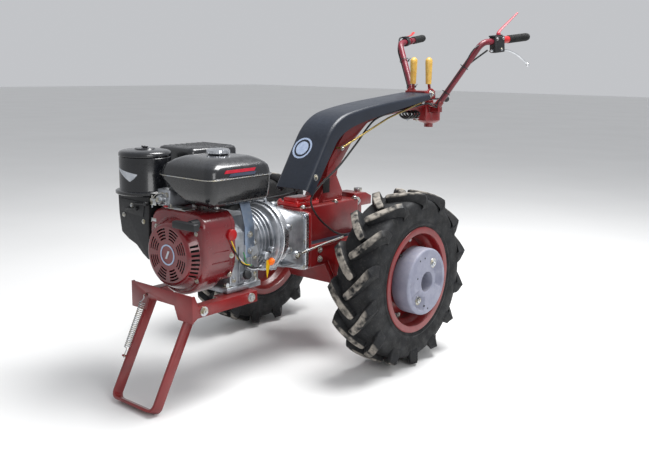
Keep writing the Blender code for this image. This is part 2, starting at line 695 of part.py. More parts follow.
def cowl(root):
    rings = []
    corner = 0.014
    half = COWL_HALF_WIDTH
    for i, (y, z, depth) in enumerate(COWL_STATIONS):
        before = COWL_STATIONS[max(i - 1, 0)]
        after = COWL_STATIONS[min(i + 1, len(COWL_STATIONS) - 1)]
        along = Vector((0, after[0] - before[0], after[1] - before[1])).normalized()
        inward = Vector((0, along.z, -along.y))
        outer = [(half, depth)]
        inner = [(half - COWL_WALL, depth)]
        for k in range(4):
            angle = radians(30 * k)
            outer.append((half - corner + corner * cos(angle), corner - corner * sin(angle)))
            small = corner - COWL_WALL
            inner.append((half - corner + small * cos(angle), corner - small * sin(angle)))
        outer += [(-a, b) for a, b in reversed(outer)]
        inner += [(-a, b) for a, b in reversed(inner)]
        section = outer + list(reversed(inner))
        rings.append([Vector((a, y, z)) + inward * b for a, b in section])
    piece("cowl", "black plastic", root, loft(rings))


def column(root):
    inset = COWL_WALL + GAP + COLUMN_DEPTH / 2 + 0.0005
    path = [(0, -0.012, 0.225), (0, 0.020, 0.345), (0, 0.100, 0.435), (0, 0.200, 0.508),
            (0, 0.300, cowl_height(0.300, inset)), (0, COLUMN_END + 0.01, cowl_height(COLUMN_END + 0.01, inset))]
    path = rounded(path, 0.060, 2)
    base = CASE_TOP + GAP
    beam = strip_along(path, (1, 0, 0), 2 * COLUMN_HALF_WIDTH, COLUMN_DEPTH)
    foot = prism([(-0.066, base), (0.062, base), (0.062, base + 0.030), (0.030, base + 0.085), (-0.020, base + 0.085),
                  (-0.066, base + 0.012)], "x", -0.035, 0.035)
    below = block((-0.1, -0.2, -0.1), (0.1, 0.2, base))
    bracket_low = COWL_STATIONS[1]
    arm = block((-COWL_HALF_WIDTH + COWL_WALL + GAP, -0.093, bracket_low[1] - 0.012),
                (COWL_HALF_WIDTH - COWL_WALL - GAP, -0.081, bracket_low[1] + 0.008))
    link = block((-0.015, -0.085, bracket_low[1] - 0.010), (0.015, 0.020, bracket_low[1] + 0.006))
    beyond = block((-0.1, COLUMN_END, 0.3), (0.1, COLUMN_END + 0.1, 0.8))
    piece("steering_column", "red paint", root, beam, add=[foot, link, arm], cut=[below, beyond])

    top = cowl_height(COLUMN_END, inset) + COLUMN_DEPTH / 2 + 0.0005
    start = COLUMN_END + GAP
    boss = [(0, 0.446), (0.018, 0.446), (0.018, 0.460), (SWIVEL_RADIUS - 0.010, 0.466), (SWIVEL_RADIUS, 0.474),
            (SWIVEL_RADIUS, BOSS_TOP), (SWIVEL_BOLT, BOSS_TOP), (SWIVEL_BOLT, HUB_TOP + RUNNING_GAP),
            (0.017, HUB_TOP + RUNNING_GAP), (0.017, HUB_TOP + 0.010), (0, HUB_TOP + 0.010)]
    web = block((-0.030, start, 0.475), (0.030, SWIVEL_Y - 0.010, BOSS_TOP - 0.003))
    upright = block((-0.030, start, 0.480), (0.030, start + 0.017, top + 0.004))
    gate = block((-0.046, COLUMN_END - 0.039, top + GAP), (0.046, COLUMN_END + 0.040, top + 0.007))
    piece("column_head", "red paint", root, turned(boss, (0, SWIVEL_Y, 0), "z", 28), add=[web, upright, gate])

    gate_top = top + 0.007 + GAP
    levers = [("gear_lever_left", 0.030, COLUMN_END + 0.022, 0.004),
              ("gear_lever_right", -0.030, COLUMN_END - 0.004, 0.002)]
    for name, x, y, lean in levers:
        foot = Vector((x, y, gate_top))
        low = Vector((x, y - 2 * lean, 0.620))
        high = Vector((x, y - 3 * lean, 0.712))
        stem = tube_along([foot, foot + Vector((0, 0, 0.004)), low + Vector((0, 0, 0.005))], 0.006)
        knob = [(0, 0.620), (0.0125, 0.620), (0.0145, 0.690), (0.0155, 0.708), (0.012, 0.721), (0, 0.725)]
        head = turned(knob, (low.x, (low.y + high.y) / 2, 0), "z", 16)
        piece(name, "tan plastic", root, stem, add=[head])

    seat = HUB_TOP + 0.010 + GAP
    cap = bar((0, SWIVEL_Y, seat), (0, SWIVEL_Y, seat + 0.010), 0.013, 16)
    knob = Vector((0.004, SWIVEL_Y + 0.125, seat + 0.001))
    rod = bar((0, SWIVEL_Y, seat + 0.005), knob - Vector((0, 0.005, 0)), 0.004, 10)
    piece("lock_lever", "black plastic", root, cap, add=[rod, ball(knob, 0.013)])

    side = COLUMN_HALF_WIDTH + GAP
    rod_path = [(side, 0.034, 0.404), (0.050, 0.034, 0.404), (0.050, 0.310, 0.497), (0.050, COLUMN_END - 0.060, 0.552),
                (side, COLUMN_END - 0.060, 0.552)]
    piece("control_rod", "zinc plate", root, tube_along(rounded(rod_path, 0.010, 3), 0.0035, 8))


# ---- handlebars ----

TUBE_FOOT = Vector((0.050, SWIVEL_Y - 0.021, 0.5303))
TUBE_BEND = Vector((0.196, SWIVEL_Y + 0.060, 0.784))
GRIP_END = Vector((0.256, SWIVEL_Y + 0.332, 0.816))


def on_side(side, point):
    return Vector((side * point.x, point.y, point.z))


def handlebar(root):
    parent = hinge_frame("handlebar", (0, SWIVEL_Y, BOSS_TOP), root)
    low = BOSS_TOP + RUNNING_GAP
    bore = SWIVEL_BOLT + RUNNING_GAP
    hub = [(bore, low), (SWIVEL_RADIUS, low), (SWIVEL_RADIUS, TUBE_FOOT.z - 0.004),
           (SWIVEL_RADIUS - 0.012, TUBE_FOOT.z - GAP), (SWIVEL_RADIUS - 0.016, HUB_TOP), (bore, HUB_TOP)]
    cross = block((-0.066, SWIVEL_Y - 0.036, low), (0.066, SWIVEL_Y - 0.006, TUBE_FOOT.z - GAP))
    hole = bar((0, SWIVEL_Y, 0.4), (0, SWIVEL_Y, 0.7), bore, 28)
    piece("handlebar_hub", "red paint", parent, turned(hub, (0, SWIVEL_Y, 0), "z", 28), add=[cross], cut=[hole])

    along = (GRIP_END - TUBE_BEND).normalized()
    grip_start = GRIP_END - along * GRIP_LENGTH
    for side, label in ((1, "left"), (-1, "right")):
        path = [on_side(side, point) for point in (TUBE_FOOT, TUBE_BEND, grip_start - along * GAP)]
        flat = block((-1, -1, TUBE_FOOT.z - 1), (1, 2, TUBE_FOOT.z))
        path[0] -= (path[1] - path[0]).normalized() * 0.02
        piece("handlebar_tube_" + label, "red paint", parent, tube_along(rounded(path, 0.045, 5), TUBE_RADIUS, 14),
              cut=[flat])
        first = on_side(side, grip_start)
        last = on_side(side, GRIP_END)
        piece("grip_" + label, "black rubber", parent, bar(first, last, GRIP_RADIUS, 18))

    place = TUBE_BEND + along * 0.088
    frame = Matrix.Translation(place) @ along.to_track_quat("Y", "Z").to_matrix().to_4x4()
    body = block((-0.018, -0.030, -0.050), (0.020, 0.030, 0.022))
    bmesh.ops.transform(body, matrix=frame, verts=body.verts)
    room = bar(place - along * 0.06, place + along * 0.06, TUBE_RADIUS + GAP, 20)
    piece("clutch_lever_housing", "black plastic", parent, body, cut=[room])
    lever = [(0.008, 0.030 + 2 * GAP, -0.041), (0.008, 0.040, -0.041), (0.016, 0.062, -0.048), (0.028, 0.092, -0.066),
             (0.040, 0.118, -0.092), (0.046, 0.136, -0.112)]
    lever = smooth_path([frame @ Vector(point) for point in lever], 0.012)
    piece("clutch_lever", "cast aluminium", parent, tube_along(lever, 0.0050, 10, 0.0042))
    throttle = [frame @ Vector((0.002, 0.006, 0.022 + GAP)), frame @ Vector((0.002, 0.006, 0.030)),
                frame @ Vector((0.002, 0.020, 0.040)), Vector((0.245, SWIVEL_Y + 0.252, 0.908))]
    piece("throttle_lever", "red paint", parent, tube_along(throttle, 0.0052, 10, 0.0034))

    place = on_side(-1, TUBE_BEND + along * 0.070)
    backward = on_side(-1, along)
    clamp = bar(place - backward * 0.012, place + backward * 0.012, TUBE_RADIUS + 0.006, 18)
    room = bar(place - backward * 0.03, place + backward * 0.03, TUBE_RADIUS + GAP, 18)
    stalk = bar(place + Vector((0, 0, TUBE_RADIUS + 0.003)), place + Vector((-0.012, 0.075, 0.044)), 0.0045, 10)
    piece("lock_control", "black plastic", parent, clamp, add=[stalk], cut=[room])
    return parent


def cables(root, handle):
    reach = TUBE_RADIUS + CABLE_RADIUS + GAP
    upward = (TUBE_BEND - TUBE_FOOT).normalized()
    sideways = upward.cross(Vector((0, 1, 0))).normalized()
    behind = sideways.cross(upward).normalized()
    low = TUBE_FOOT + upward * 0.020 + behind * reach
    high = TUBE_FOOT + upward * 0.180 + behind * reach
    leaving = TUBE_FOOT + upward * 0.215 + behind * (reach + 0.005)
    end = Vector((0.196, SWIVEL_Y + 0.108, 0.756))
    route = [low, low.lerp(high, 0.35), low.lerp(high, 0.7), high, leaving, end]
    piece("clutch_cable_upper", "black plastic", handle, tube_along(smooth_path(route, 0.012), CABLE_RADIUS, 8))
    beside = COLUMN_HALF_WIDTH + CABLE_RADIUS + GAP
    route = [(0.040, COLUMN_END - 0.010, 0.545), (beside + 0.001, COLUMN_END - 0.100, 0.532), (beside, COLUMN_END - 0.170, 0.524),
             (beside + 0.001, COLUMN_END - 0.240, 0.516), (0.036, 0.240, 0.490),
             (0.046, 0.120, 0.410), (0.050, 0.020, 0.340), (0.056, -0.080, 0.290), (0.070, -0.150, 0.245),
             (0.086, -0.135, 0.190), (0.094, -0.070, 0.135), (0.094, -0.020, 0.112), (0.092, 0.020, 0.105)]
    piece("clutch_cable_lower", "black plastic", root, tube_along(smooth_path(route, 0.014), CABLE_RADIUS, 8))
    seat = CRANK_HEIGHT + BELL_RADIUS + CABLE_RADIUS + GAP
    route = [(-0.040, COLUMN_END - 0.010, 0.545), (-beside - 0.001, COLUMN_END - 0.100, 0.532),
             (-beside, COLUMN_END - 0.170, 0.524), (-beside - 0.001, COLUMN_END - 0.240, 0.516), (-0.036, 0.240, 0.490),
             (-0.044, 0.120, 0.420), (-0.040, 0.020, 0.350), (-0.020, -0.080, 0.292), (0.000, -0.140, 0.266),
             (0.009, -0.270, seat + 0.0007), (0.010, BELL_FRONT + 0.015, seat)]
    piece("throttle_cable_lower", "black plastic", root, tube_along(smooth_path(route, 0.014), CABLE_RADIUS, 8))


def set_down(root):
    """Lift the machine onto its tyres and centre it over the origin, front to back."""
    bpy.context.view_layer.update()
    graph = bpy.context.evaluated_depsgraph_get()
    reach = []
    for thing in bpy.context.scene.objects:
        if thing.type == "MESH" and not thing.hide_render:
            shown = thing.evaluated_get(graph)
            reach += [(shown.matrix_world @ vert.co).y for vert in shown.data.vertices]
    root.location = (0, -(min(reach) + max(reach)) / 2, TYRE_RADIUS)


def main():
    clear_scene()
    root = bpy.data.objects.new("tractor", None)
    bpy.context.scene.collection.objects.link(root)
    for side in (1, -1):
        wheel(side, root)
    gearbox(root)
    hitch(root)
    clutch_housing(root)
    engine(root)
    intake(root)
    muffler(root)
    fuel_tank(root)
    front_frame(root)
    stand(root)
    cowl(root)
    column(root)
    handle = handlebar(root)
    cables(root, handle)
    set_down(root)
    bpy.context.view_layer.update()


main()
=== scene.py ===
import json
from math import cos, pi, radians, sin, tan

import bmesh
import bpy
from mathutils import Matrix, Vector


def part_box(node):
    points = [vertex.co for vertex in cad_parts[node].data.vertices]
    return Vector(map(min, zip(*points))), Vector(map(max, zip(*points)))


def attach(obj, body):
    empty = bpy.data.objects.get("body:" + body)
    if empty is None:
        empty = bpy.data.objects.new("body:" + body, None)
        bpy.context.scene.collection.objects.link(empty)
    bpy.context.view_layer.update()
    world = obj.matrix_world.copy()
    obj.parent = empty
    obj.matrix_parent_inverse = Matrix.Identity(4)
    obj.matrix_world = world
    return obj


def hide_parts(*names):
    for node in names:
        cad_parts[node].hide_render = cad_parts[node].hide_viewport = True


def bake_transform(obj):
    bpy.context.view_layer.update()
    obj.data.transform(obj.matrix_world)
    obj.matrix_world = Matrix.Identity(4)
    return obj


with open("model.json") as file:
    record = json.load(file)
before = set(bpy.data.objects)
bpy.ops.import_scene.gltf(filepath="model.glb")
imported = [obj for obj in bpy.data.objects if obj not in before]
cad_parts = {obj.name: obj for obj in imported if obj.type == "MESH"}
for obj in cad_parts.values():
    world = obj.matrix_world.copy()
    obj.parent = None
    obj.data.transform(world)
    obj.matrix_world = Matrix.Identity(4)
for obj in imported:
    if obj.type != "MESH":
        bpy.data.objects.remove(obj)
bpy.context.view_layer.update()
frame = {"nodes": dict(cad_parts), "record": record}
nodes = frame["nodes"]
axleLow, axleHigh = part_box("axle_left")
axleMiddle = Vector((0, (axleLow.y + axleHigh.y) / 2, (axleLow.z + axleHigh.z) / 2))
rightAngle = pi / 2
print("frame loaded")


def at(x, y, z):
    return Vector((x, y, z)) + axleMiddle    # places are measured from the middle of the wheel axle


# camera, first, so that every later choice can be looked at through it
viewSizes = {"place": (1.7992, -2.1667, 0.6800), "yaw": 39.603, "pitch": 11.078, "roll": 0.779, "lens": 44.64}


def addCamera():
    yaw, pitch, roll = (radians(viewSizes[key]) for key in ("yaw", "pitch", "roll"))
    ahead = Vector((-sin(yaw) * cos(pitch), cos(yaw) * cos(pitch), -sin(pitch)))
    level = Vector((cos(yaw), sin(yaw), 0))
    upward = level.cross(ahead)
    across = level * cos(roll) + upward * sin(roll)
    upright = upward * cos(roll) - level * sin(roll)
    data = bpy.data.cameras.new("photographer")
    data.lens = viewSizes["lens"]
    camera = bpy.data.objects.new("photographer", data)
    bpy.context.scene.collection.objects.link(camera)
    turned = Matrix((across, upright, -ahead)).transposed().to_4x4()
    camera.matrix_world = Matrix.Translation(at(*viewSizes["place"])) @ turned
    bpy.context.scene.camera = camera


addCamera()


# node helper and colours

def linear(hexColour):
    parts = [int(hexColour[i:i + 2], 16) / 255 for i in (1, 3, 5)]
    return [part / 12.92 if part <= 0.04045 else ((part + 0.055) / 1.055) ** 2.4 for part in parts] + [1]


def addNode(tree, kind, settings=None, links=None):
    node = tree.nodes.new(kind)
    for name, value in (settings or {}).items():
        if hasattr(node, name) and name not in node.inputs:
            setattr(node, name, value)
        else:
            node.inputs[name].default_value = value
    for name, source in (links or {}).items():
        tree.links.new(source, node.inputs[name])
    return node


def newFinish(name, constants):
    finish = bpy.data.materials.new(name)
    finish.use_nodes = True
    tree = finish.node_tree
    shader = tree.nodes["Principled BSDF"]
    for socket, value in constants.items():
        shader.inputs[socket].default_value = value
    where = addNode(tree, "ShaderNodeTexCoord")
    return finish, tree, shader, where


def speckle(tree, where, sizeMm, detail=3, low=0.4, high=0.6):
    # noise whose grains are about sizeMm across, stretched so that low and high become 0 and 1
    noise = addNode(tree, "ShaderNodeTexNoise", {"Scale": 1000 / sizeMm, "Detail": detail},
                    {"Vector": where.outputs["Object"]})
    spread = addNode(tree, "ShaderNodeMapRange", {"From Min": low, "From Max": high},
                     {"Value": noise.outputs["Fac"]})
    return spread.outputs["Result"]


def blend(tree, factor, first, second):
    mix = addNode(tree, "ShaderNodeMix", {"data_type": "RGBA"}, {"Factor": factor})
    for socket, colour in ((mix.inputs[6], first), (mix.inputs[7], second)):
        if isinstance(colour, str):
            socket.default_value = linear(colour)
        else:
            tree.links.new(colour, socket)
    return mix.outputs[2]


def coated(name, base, shade, constants, roughness, grainMm, depthMm, blotchMm=60, dust=None,
           dustAmount=0.25):
    # a finish with slow colour change, fine relief, and dust on what faces up
    finish, tree, shader, where = newFinish(name, constants)
    colour = blend(tree, speckle(tree, where, blotchMm, 4, 0.35, 0.7), base, shade)
    if dust:
        facing = addNode(tree, "ShaderNodeSeparateXYZ", None, {"Vector": where.outputs["Normal"]})
        settled = addNode(tree, "ShaderNodeMapRange",
                          {"From Min": 0.2, "From Max": 1.0, "To Max": dustAmount},
                          {"Value": facing.outputs["Z"]})
        patchy = addNode(tree, "ShaderNodeMath", {"operation": "MULTIPLY"})
        tree.links.new(settled.outputs["Result"], patchy.inputs[0])
        tree.links.new(speckle(tree, where, 9, 6, 0.3, 0.75), patchy.inputs[1])
        colour = blend(tree, patchy.outputs[0], colour, dust)
    tree.links.new(colour, shader.inputs["Base Color"])
    smooth, dull = roughness
    gloss = addNode(tree, "ShaderNodeMapRange", {"To Min": smooth, "To Max": dull},
                    {"Value": speckle(tree, where, blotchMm / 4, 5, 0.3, 0.75)})
    tree.links.new(gloss.outputs["Result"], shader.inputs["Roughness"])
    relief = addNode(tree, "ShaderNodeBump", {"Strength": 1.0, "Distance": depthMm / 1000},
                     {"Height": speckle(tree, where, grainMm, 2, 0.2, 0.8)})
    tree.links.new(relief.outputs["Normal"], shader.inputs["Normal"])
    return finish


# sprayed alkyd enamel on steel: a low orange peel, wet gloss, dull where dust lies
redEnamel = coated("redSprayedEnamel", "#7d0f12", "#650b0f", {"Coat Weight": 0.25, "Coat Roughness": 0.12},
                   (0.28, 0.42), 6, 0.10, 80, "#9a8478", 0.16)
# the same enamel on the handlebar tubes, older and pinker
maroonEnamel = coated("maroonEnamel", "#6f1426", "#5a0f1d", {}, (0.3, 0.44), 5, 0.06, 60, "#94707a", 0.14)
# the same red on the moulded engine covers, deeper and glossier
redCover = coated("redGlossCover", "#6e0d16", "#560912", {"Coat Weight": 0.6, "Coat Roughness": 0.06},
                  (0.2, 0.3), 8, 0.05, 90, "#8d6c66", 0.10)
# baked black enamel on pressed steel: a hard bright gloss with a slight bluish cast
blackEnamel = coated("blackBakedEnamel", "#0c0d10", "#121419", {"Coat Weight": 0.5, "Coat Roughness": 0.08},
                     (0.22, 0.34), 5, 0.05, 70, "#565a62", 0.16)
# matt black moulded ABS with a spark-eroded grain
blackPlastic = coated("blackMouldedAbs", "#101114", "#17181b", {}, (0.45, 0.6), 1.2, 0.08, 40, "#55565a",
                      0.15)
# powder coat on the column cover: dark navy black, satin; the same navy is the painted shadow on the gearbox
# ledge tops
navyCoatAndShadow = coated("navyPowderCoatAndShadow", "#0f1622", "#141c2a", {}, (0.34, 0.42), 1.5, 0.05, 120, "#5b6470", 0.14)
# thick grey primer over rough cast iron
greyIron = coated("greyPaintedCastIron", "#8d8f9f", "#7c7e90", {}, (0.5, 0.68), 3.0, 0.35, 35, "#b2aca6", 0.3)
# as-cast aluminium: bright skin, sand texture, grey oxide in patches
castAluminium = coated("sandCastAluminium", "#b9bcc1", "#8d9197", {"Metallic": 0.9}, (0.32, 0.55), 1.6, 0.22,
                       30,
                       "#8c857a", 0.25)
# machined faces of the same casting
turnedAluminium = coated("machinedAluminium", "#cfd1d4", "#b5b8bc", {"Metallic": 1.0}, (0.22, 0.34), 0.8,
                         0.04, 25)
# bright zinc plating, bluish with yellow patches; the same bright metal is the painted highlight along the
# tank seam
zincPlateAndHighlight = coated("zincPlatedSteelAndHighlight", "#b7bcc4", "#b3aa90", {"Metallic": 1.0}, (0.25, 0.42), 2.0, 0.05, 12)
# grey strap and plates in blue chromated zinc
blueZinc = coated("blueChromatedZinc", "#7b8ca4", "#8f9aa8", {"Metallic": 0.85}, (0.3, 0.45), 2.5, 0.05, 20)
yellowZinc = coated("yellowPassivatedZinc", "#b29a5a", "#8f7d4c", {"Metallic": 0.9}, (0.3, 0.5), 2.0, 0.05,
                    12)
chromePlate = coated("chromePlate", "#d9dce0", "#c9ccd1", {"Metallic": 1.0}, (0.06, 0.16), 4.0, 0.02, 30)
# cream yellow acetate knobs, waxy
tanKnob = coated("yellowAcetate", "#c9a552", "#b98f3c", {"Subsurface Weight": 0.05}, (0.3, 0.42), 3.0, 0.05,
                 15,
                 "#8c7a55", 0.25)
softRubber = coated("blackGripRubber", "#101112", "#191a1b", {}, (0.6, 0.78), 1.0, 0.10, 20, "#4d4b48", 0.2)
cableSleeve = coated("blackPvcSleeve", "#0c0c0e", "#151517", {}, (0.35, 0.5), 1.5, 0.04, 20, "#45454a", 0.15)
orangePlug = coated("orangePolythene", "#ff7a0c", "#f2650a", {}, (0.35, 0.5), 1.5, 0.05, 10)
yellowWire = coated("yellowPvcWire", "#d9b414", "#c79d10", {}, (0.35, 0.5), 1.5, 0.03, 10)
greenWire = coated("greenPvcWire", "#1c8a4a", "#14713b", {}, (0.35, 0.5), 1.5, 0.03, 10)
whiteWire = coated("whitePvcWire", "#c9c9cc", "#b4b4b8", {}, (0.35, 0.5), 1.5, 0.03, 10)
redSwitch = coated("redMouldedSwitch", "#a3070d", "#8a050a", {}, (0.3, 0.4), 1.5, 0.04, 15)
brightRed = coated("brightRedLacquer", "#c3161a", "#a81115", {"Coat Weight": 0.5, "Coat Roughness": 0.1},
                   (0.25, 0.38), 5, 0.06, 50, "#b08a80", 0.12)
pinkRed = coated("fadedRedLacquer", "#a51f33", "#8d1a2c", {}, (0.3, 0.45), 4, 0.04, 25)
# silver film on the badge bar and the tag; also the painted highlight on the air cleaner can
silverFilmAndHighlight = coated("silverFilmAndHighlight", "#c8ccd2", "#aeb3ba", {"Metallic": 0.7}, (0.3, 0.4), 3, 0.02, 20)
redFilm = coated("redFilm", "#b4142c", "#9c1026", {}, (0.25, 0.35), 3, 0.02, 20)
slateFilm = coated("slateFilm", "#3b4256", "#343b4d", {}, (0.25, 0.35), 3, 0.02, 20)
paleFilm = coated("paleBlueFilm", "#a9b7cf", "#94a3bd", {}, (0.3, 0.4), 3, 0.02, 12)
# near-black for openings: painted shade inside drilled holes, louvre slots, windows, the fan housing and the
# exhaust outlet
paintedShadeInside = coated("paintedShadeBlack", "#050506", "#0a0a0b", {}, (0.7, 0.85), 2.0, 0.05, 20)


def tyreRubber(side):
    # vulcanised rubber: matt black, brown-grey dust and painted highlight on the tops of the lugs, field dust
    # in the fine grain
    finish, tree, shader, where = newFinish("tyreRubber" + side, {"Specular IOR Level": 0.4})
    low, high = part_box("tyre_" + side)
    middle = (low + high) / 2
    local = addNode(tree, "ShaderNodeMapping", {"Location": -middle}, {"Vector": where.outputs["Object"]})
    flat = addNode(tree, "ShaderNodeVectorMath", {"operation": "MULTIPLY"})
    tree.links.new(local.outputs["Vector"], flat.inputs[0])
    flat.inputs[1].default_value = (0, 1, 1)
    radius = addNode(tree, "ShaderNodeVectorMath", {"operation": "LENGTH"})
    tree.links.new(flat.outputs["Vector"], radius.inputs[0])
    # lug tops lighter towards the outside: dust and painted highlight
    onTop = addNode(tree, "ShaderNodeMapRange", {"From Min": 0.2845, "From Max": 0.2885, "To Max": 0.85},
                    {"Value": radius.outputs["Value"]})
    dustAndHighlight = addNode(tree, "ShaderNodeMath", {"operation": "MULTIPLY"})
    tree.links.new(onTop.outputs["Result"], dustAndHighlight.inputs[0])
    tree.links.new(speckle(tree, where, 22, 7, 0.36, 0.6), dustAndHighlight.inputs[1])
    plain = blend(tree, speckle(tree, where, 45, 5, 0.4, 0.8), "#0b0c0e", "#191b1f")
    faint = blend(tree, speckle(tree, where, 7, 6, 0.55, 0.95), plain, "#3d3c3a")
    colour = blend(tree, dustAndHighlight.outputs[0], faint, "#a19a90")
    tree.links.new(colour, shader.inputs["Base Color"])
    gloss = addNode(tree, "ShaderNodeMapRange", {"To Min": 0.52, "To Max": 0.85},
                    {"Value": speckle(tree, where, 30, 5, 0.3, 0.7)})
    tree.links.new(gloss.outputs["Result"], shader.inputs["Roughness"])
    relief = addNode(tree, "ShaderNodeBump", {"Distance": 0.0004},
                     {"Height": speckle(tree, where, 2.5, 4, 0.2, 0.8)})
    tree.links.new(relief.outputs["Normal"], shader.inputs["Normal"])
    return finish


print("finishes made")


# shapes, each a bmesh measured from the middle of the axle

def polished(shape, weld=0.00002):
    bmesh.ops.remove_doubles(shape, verts=shape.verts, dist=weld)
    bmesh.ops.recalc_face_normals(shape, faces=shape.faces)
    return shape


def loft(rings, closed=False, capped=True):
    shape = bmesh.new()
    grid = [[shape.verts.new(point) for point in ring] for ring in rings]
    pairs = list(zip(grid, grid[1:]))
    if closed:
        pairs.append((grid[-1], grid[0]))
    count = len(grid[0])
    for near, far in pairs:
        for i in range(count):
            j = (i + 1) % count
            shape.faces.new((near[i], near[j], far[j], far[i]))
    if capped and not closed:
        shape.faces.new(list(reversed(grid[0])))
        shape.faces.new(grid[-1])
    return shape


def turned(profile, centre, axis, segments=96):
    # a closed outline of (radius, distance along the axis), turned about the axis through centre
    direction = {"x": Vector((1, 0, 0)), "y": Vector((0, 1, 0)), "z": Vector((0, 0, 1))}[axis]
    side = Vector((1, 0, 0)) if axis == "z" else Vector((0, 0, 1))
    other = direction.cross(side)
    rings = []
    for i in range(segments):
        outward = side * cos(2 * pi * i / segments) + other * sin(2 * pi * i / segments)
        rings.append([Vector(centre) + outward * radius + direction * along for radius, along in profile])
    shape = loft(rings, closed=True)
    bmesh.ops.dissolve_degenerate(shape, dist=0.00001, edges=shape.edges)
    return polished(shape)


def prism(outline, axis, low, high):
    rings = []
    for along in (low, high):
        places = {"x": [(along, a, b) for a, b in outline], "y": [(a, along, b) for a, b in outline],
                  "z": [(a, b, along) for a, b in outline]}
        rings.append([Vector(place) for place in places[axis]])
    return polished(loft(rings))


def block(low, high):
    return prism([(low[0], low[1]), (high[0], low[1]), (high[0], high[1]), (low[0], high[1])], "z", low[2],
                 high[2])


def sweep(points, radius, segments=12, tip=None):
    # a round bar along points, tapering to the tip radius if one is given
    points = [Vector(point) for point in points]
    tip = radius if tip is None else tip
    previous = (points[1] - points[0]).normalized()
    side = previous.orthogonal().normalized()
    rings = []
    for i, point in enumerate(points):
        direction = (points[min(i + 1, len(points) - 1)] - points[max(i - 1, 0)]).normalized()
        side = (previous.rotation_difference(direction) @ side).normalized()
        previous = direction
        other = direction.cross(side)
        size = radius + (tip - radius) * i / (len(points) - 1)
        rings.append([point + (side * cos(2 * pi * k / segments) + other * sin(2 * pi * k / segments)) * size
                      for k in range(segments)])
    return polished(loft(rings))


def smoothPath(points, spacing=0.006):
    # evenly spaced points on a smooth curve through the given ones
    points = [Vector(point) for point in points]
    ends = [points[0] * 2 - points[1], *points, points[-1] * 2 - points[-2]]
    dense = []
    for a, b, c, d in zip(ends, ends[1:], ends[2:], ends[3:]):
        for k in range(20):
            t = k / 20
            dense.append(0.5 * (2 * b + (c - a) * t + (2 * a - 5 * b + 4 * c - d) * t * t
                                + (3 * b - a - 3 * c + d) * t ** 3))
    dense.append(points[-1])
    total = sum((q - p).length for p, q in zip(dense, dense[1:]))
    count = max(3, round(total / spacing))
    path = [dense[0]]
    travelled = 0
    for p, q in zip(dense, dense[1:]):
        travelled += (q - p).length
        if travelled >= total * len(path) / count - 1e-9 and len(path) < count:
            path.append(q)
    path.append(dense[-1])
    return path


def filleted(points, radius, steps=8):
    # a bent path with each inner corner replaced by an arc
    points = [Vector(point) for point in points]
    path = [points[0]]
    for before, corner, after in zip(points, points[1:], points[2:]):
        back = (before - corner).normalized()
        on = (after - corner).normalized()
        half = back.angle(on) / 2
        centre = corner + (back + on).normalized() * radius / sin(half)
        start = corner + back * radius / tan(half) - centre
        end = corner + on * radius / tan(half) - centre
        turn = start.rotation_difference(end)
        for k in range(steps + 1):
            path.append(centre + Matrix.Rotation(turn.angle * k / steps, 3, turn.axis) @ start)
    path.append(points[-1])
    return path


def roundedOutline(xRange, yRange, corner, steps=8):
    (x0, x1), (y0, y1) = xRange, yRange
    centres = [(x1 - corner, y1 - corner), (x0 + corner, y1 - corner), (x0 + corner, y0 + corner),
               (x1 - corner, y0 + corner)]
    points = []
    for quarter, (x, y) in enumerate(centres):
        for k in range(steps + 1):
            angle = rightAngle * (quarter + k / steps)
            points.append((x + corner * cos(angle), y + corner * sin(angle)))
    return points


def joined(*shapes):
    whole = bmesh.new()
    for shape in shapes:
        spare = bpy.data.meshes.new("spare")
        shape.to_mesh(spare)
        shape.free()
        whole.from_mesh(spare)
        bpy.data.meshes.remove(spare)
    return whole


def moved(shape, matrix):
    bmesh.ops.transform(shape, matrix=matrix, verts=shape.verts)
    return shape


# pieces

def settle(piece, finish, body, stands, smoothDegrees):
    piece.data.materials.clear()
    piece.data.materials.append(finish)
    piece.data.shade_smooth()
    piece.data.set_sharp_from_angle(angle=radians(smoothDegrees))
    if body:
        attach(piece, body)
    if stands:
        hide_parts(*stands)
    return piece


def flattened(name, source):
    # the evaluated result as a plain mesh, its source removed
    graph = bpy.context.evaluated_depsgraph_get()
    mesh = bpy.data.meshes.new_from_object(source.evaluated_get(graph))
    spent = source.data
    bpy.data.objects.remove(source)
    bpy.data.meshes.remove(spent)
    piece = bpy.data.objects.new(name, mesh)
    bpy.context.scene.collection.objects.link(piece)
    return piece


def made(name, shape, finish, body, stands=(), bevel=0, rounds=2, smoothDegrees=35, cut=None):
    bmesh.ops.translate(shape, vec=axleMiddle, verts=shape.verts)
    mesh = bpy.data.meshes.new(name)
    shape.to_mesh(mesh)
    shape.free()
    source = bpy.data.objects.new(name + "Source", mesh)
    bpy.context.scene.collection.objects.link(source)
    cutter = None
    if cut:
        bmesh.ops.translate(cut, vec=axleMiddle, verts=cut.verts)
        tool = bpy.data.meshes.new(name + "Cut")
        cut.to_mesh(tool)
        cut.free()
        cutter = bpy.data.objects.new(name + "Cut", tool)
        bpy.context.scene.collection.objects.link(cutter)
        away = source.modifiers.new("cut", "BOOLEAN")
        away.operation = "DIFFERENCE"
        away.solver = "EXACT"
        away.object = cutter
    if bevel:
        edge = source.modifiers.new("edge", "BEVEL")
        edge.width = bevel
        edge.segments = rounds
        edge.limit_method = "ANGLE"
        edge.angle_limit = radians(30)
    bpy.context.view_layer.update()
    piece = flattened(name, source)
    if cutter:
        bpy.data.objects.remove(cutter)
    return settle(piece, finish, body, stands, smoothDegrees)


def softened(node, finish, body, bevel=0.0015):
    # a CAD node's own shape with its edges eased, standing for that node
    shape = bmesh.new()
    shape.from_mesh(nodes[node].data)
    bmesh.ops.remove_doubles(shape, verts=shape.verts, dist=0.00002)
    bmesh.ops.dissolve_limit(shape, angle_limit=radians(0.5), verts=shape.verts, edges=shape.edges)
    bmesh.ops.translate(shape, vec=-axleMiddle, verts=shape.verts)
    return made(node + "_eased", shape, finish, body, [node], bevel)


# Geometry Nodes that repeat one shape in a row or round an axis

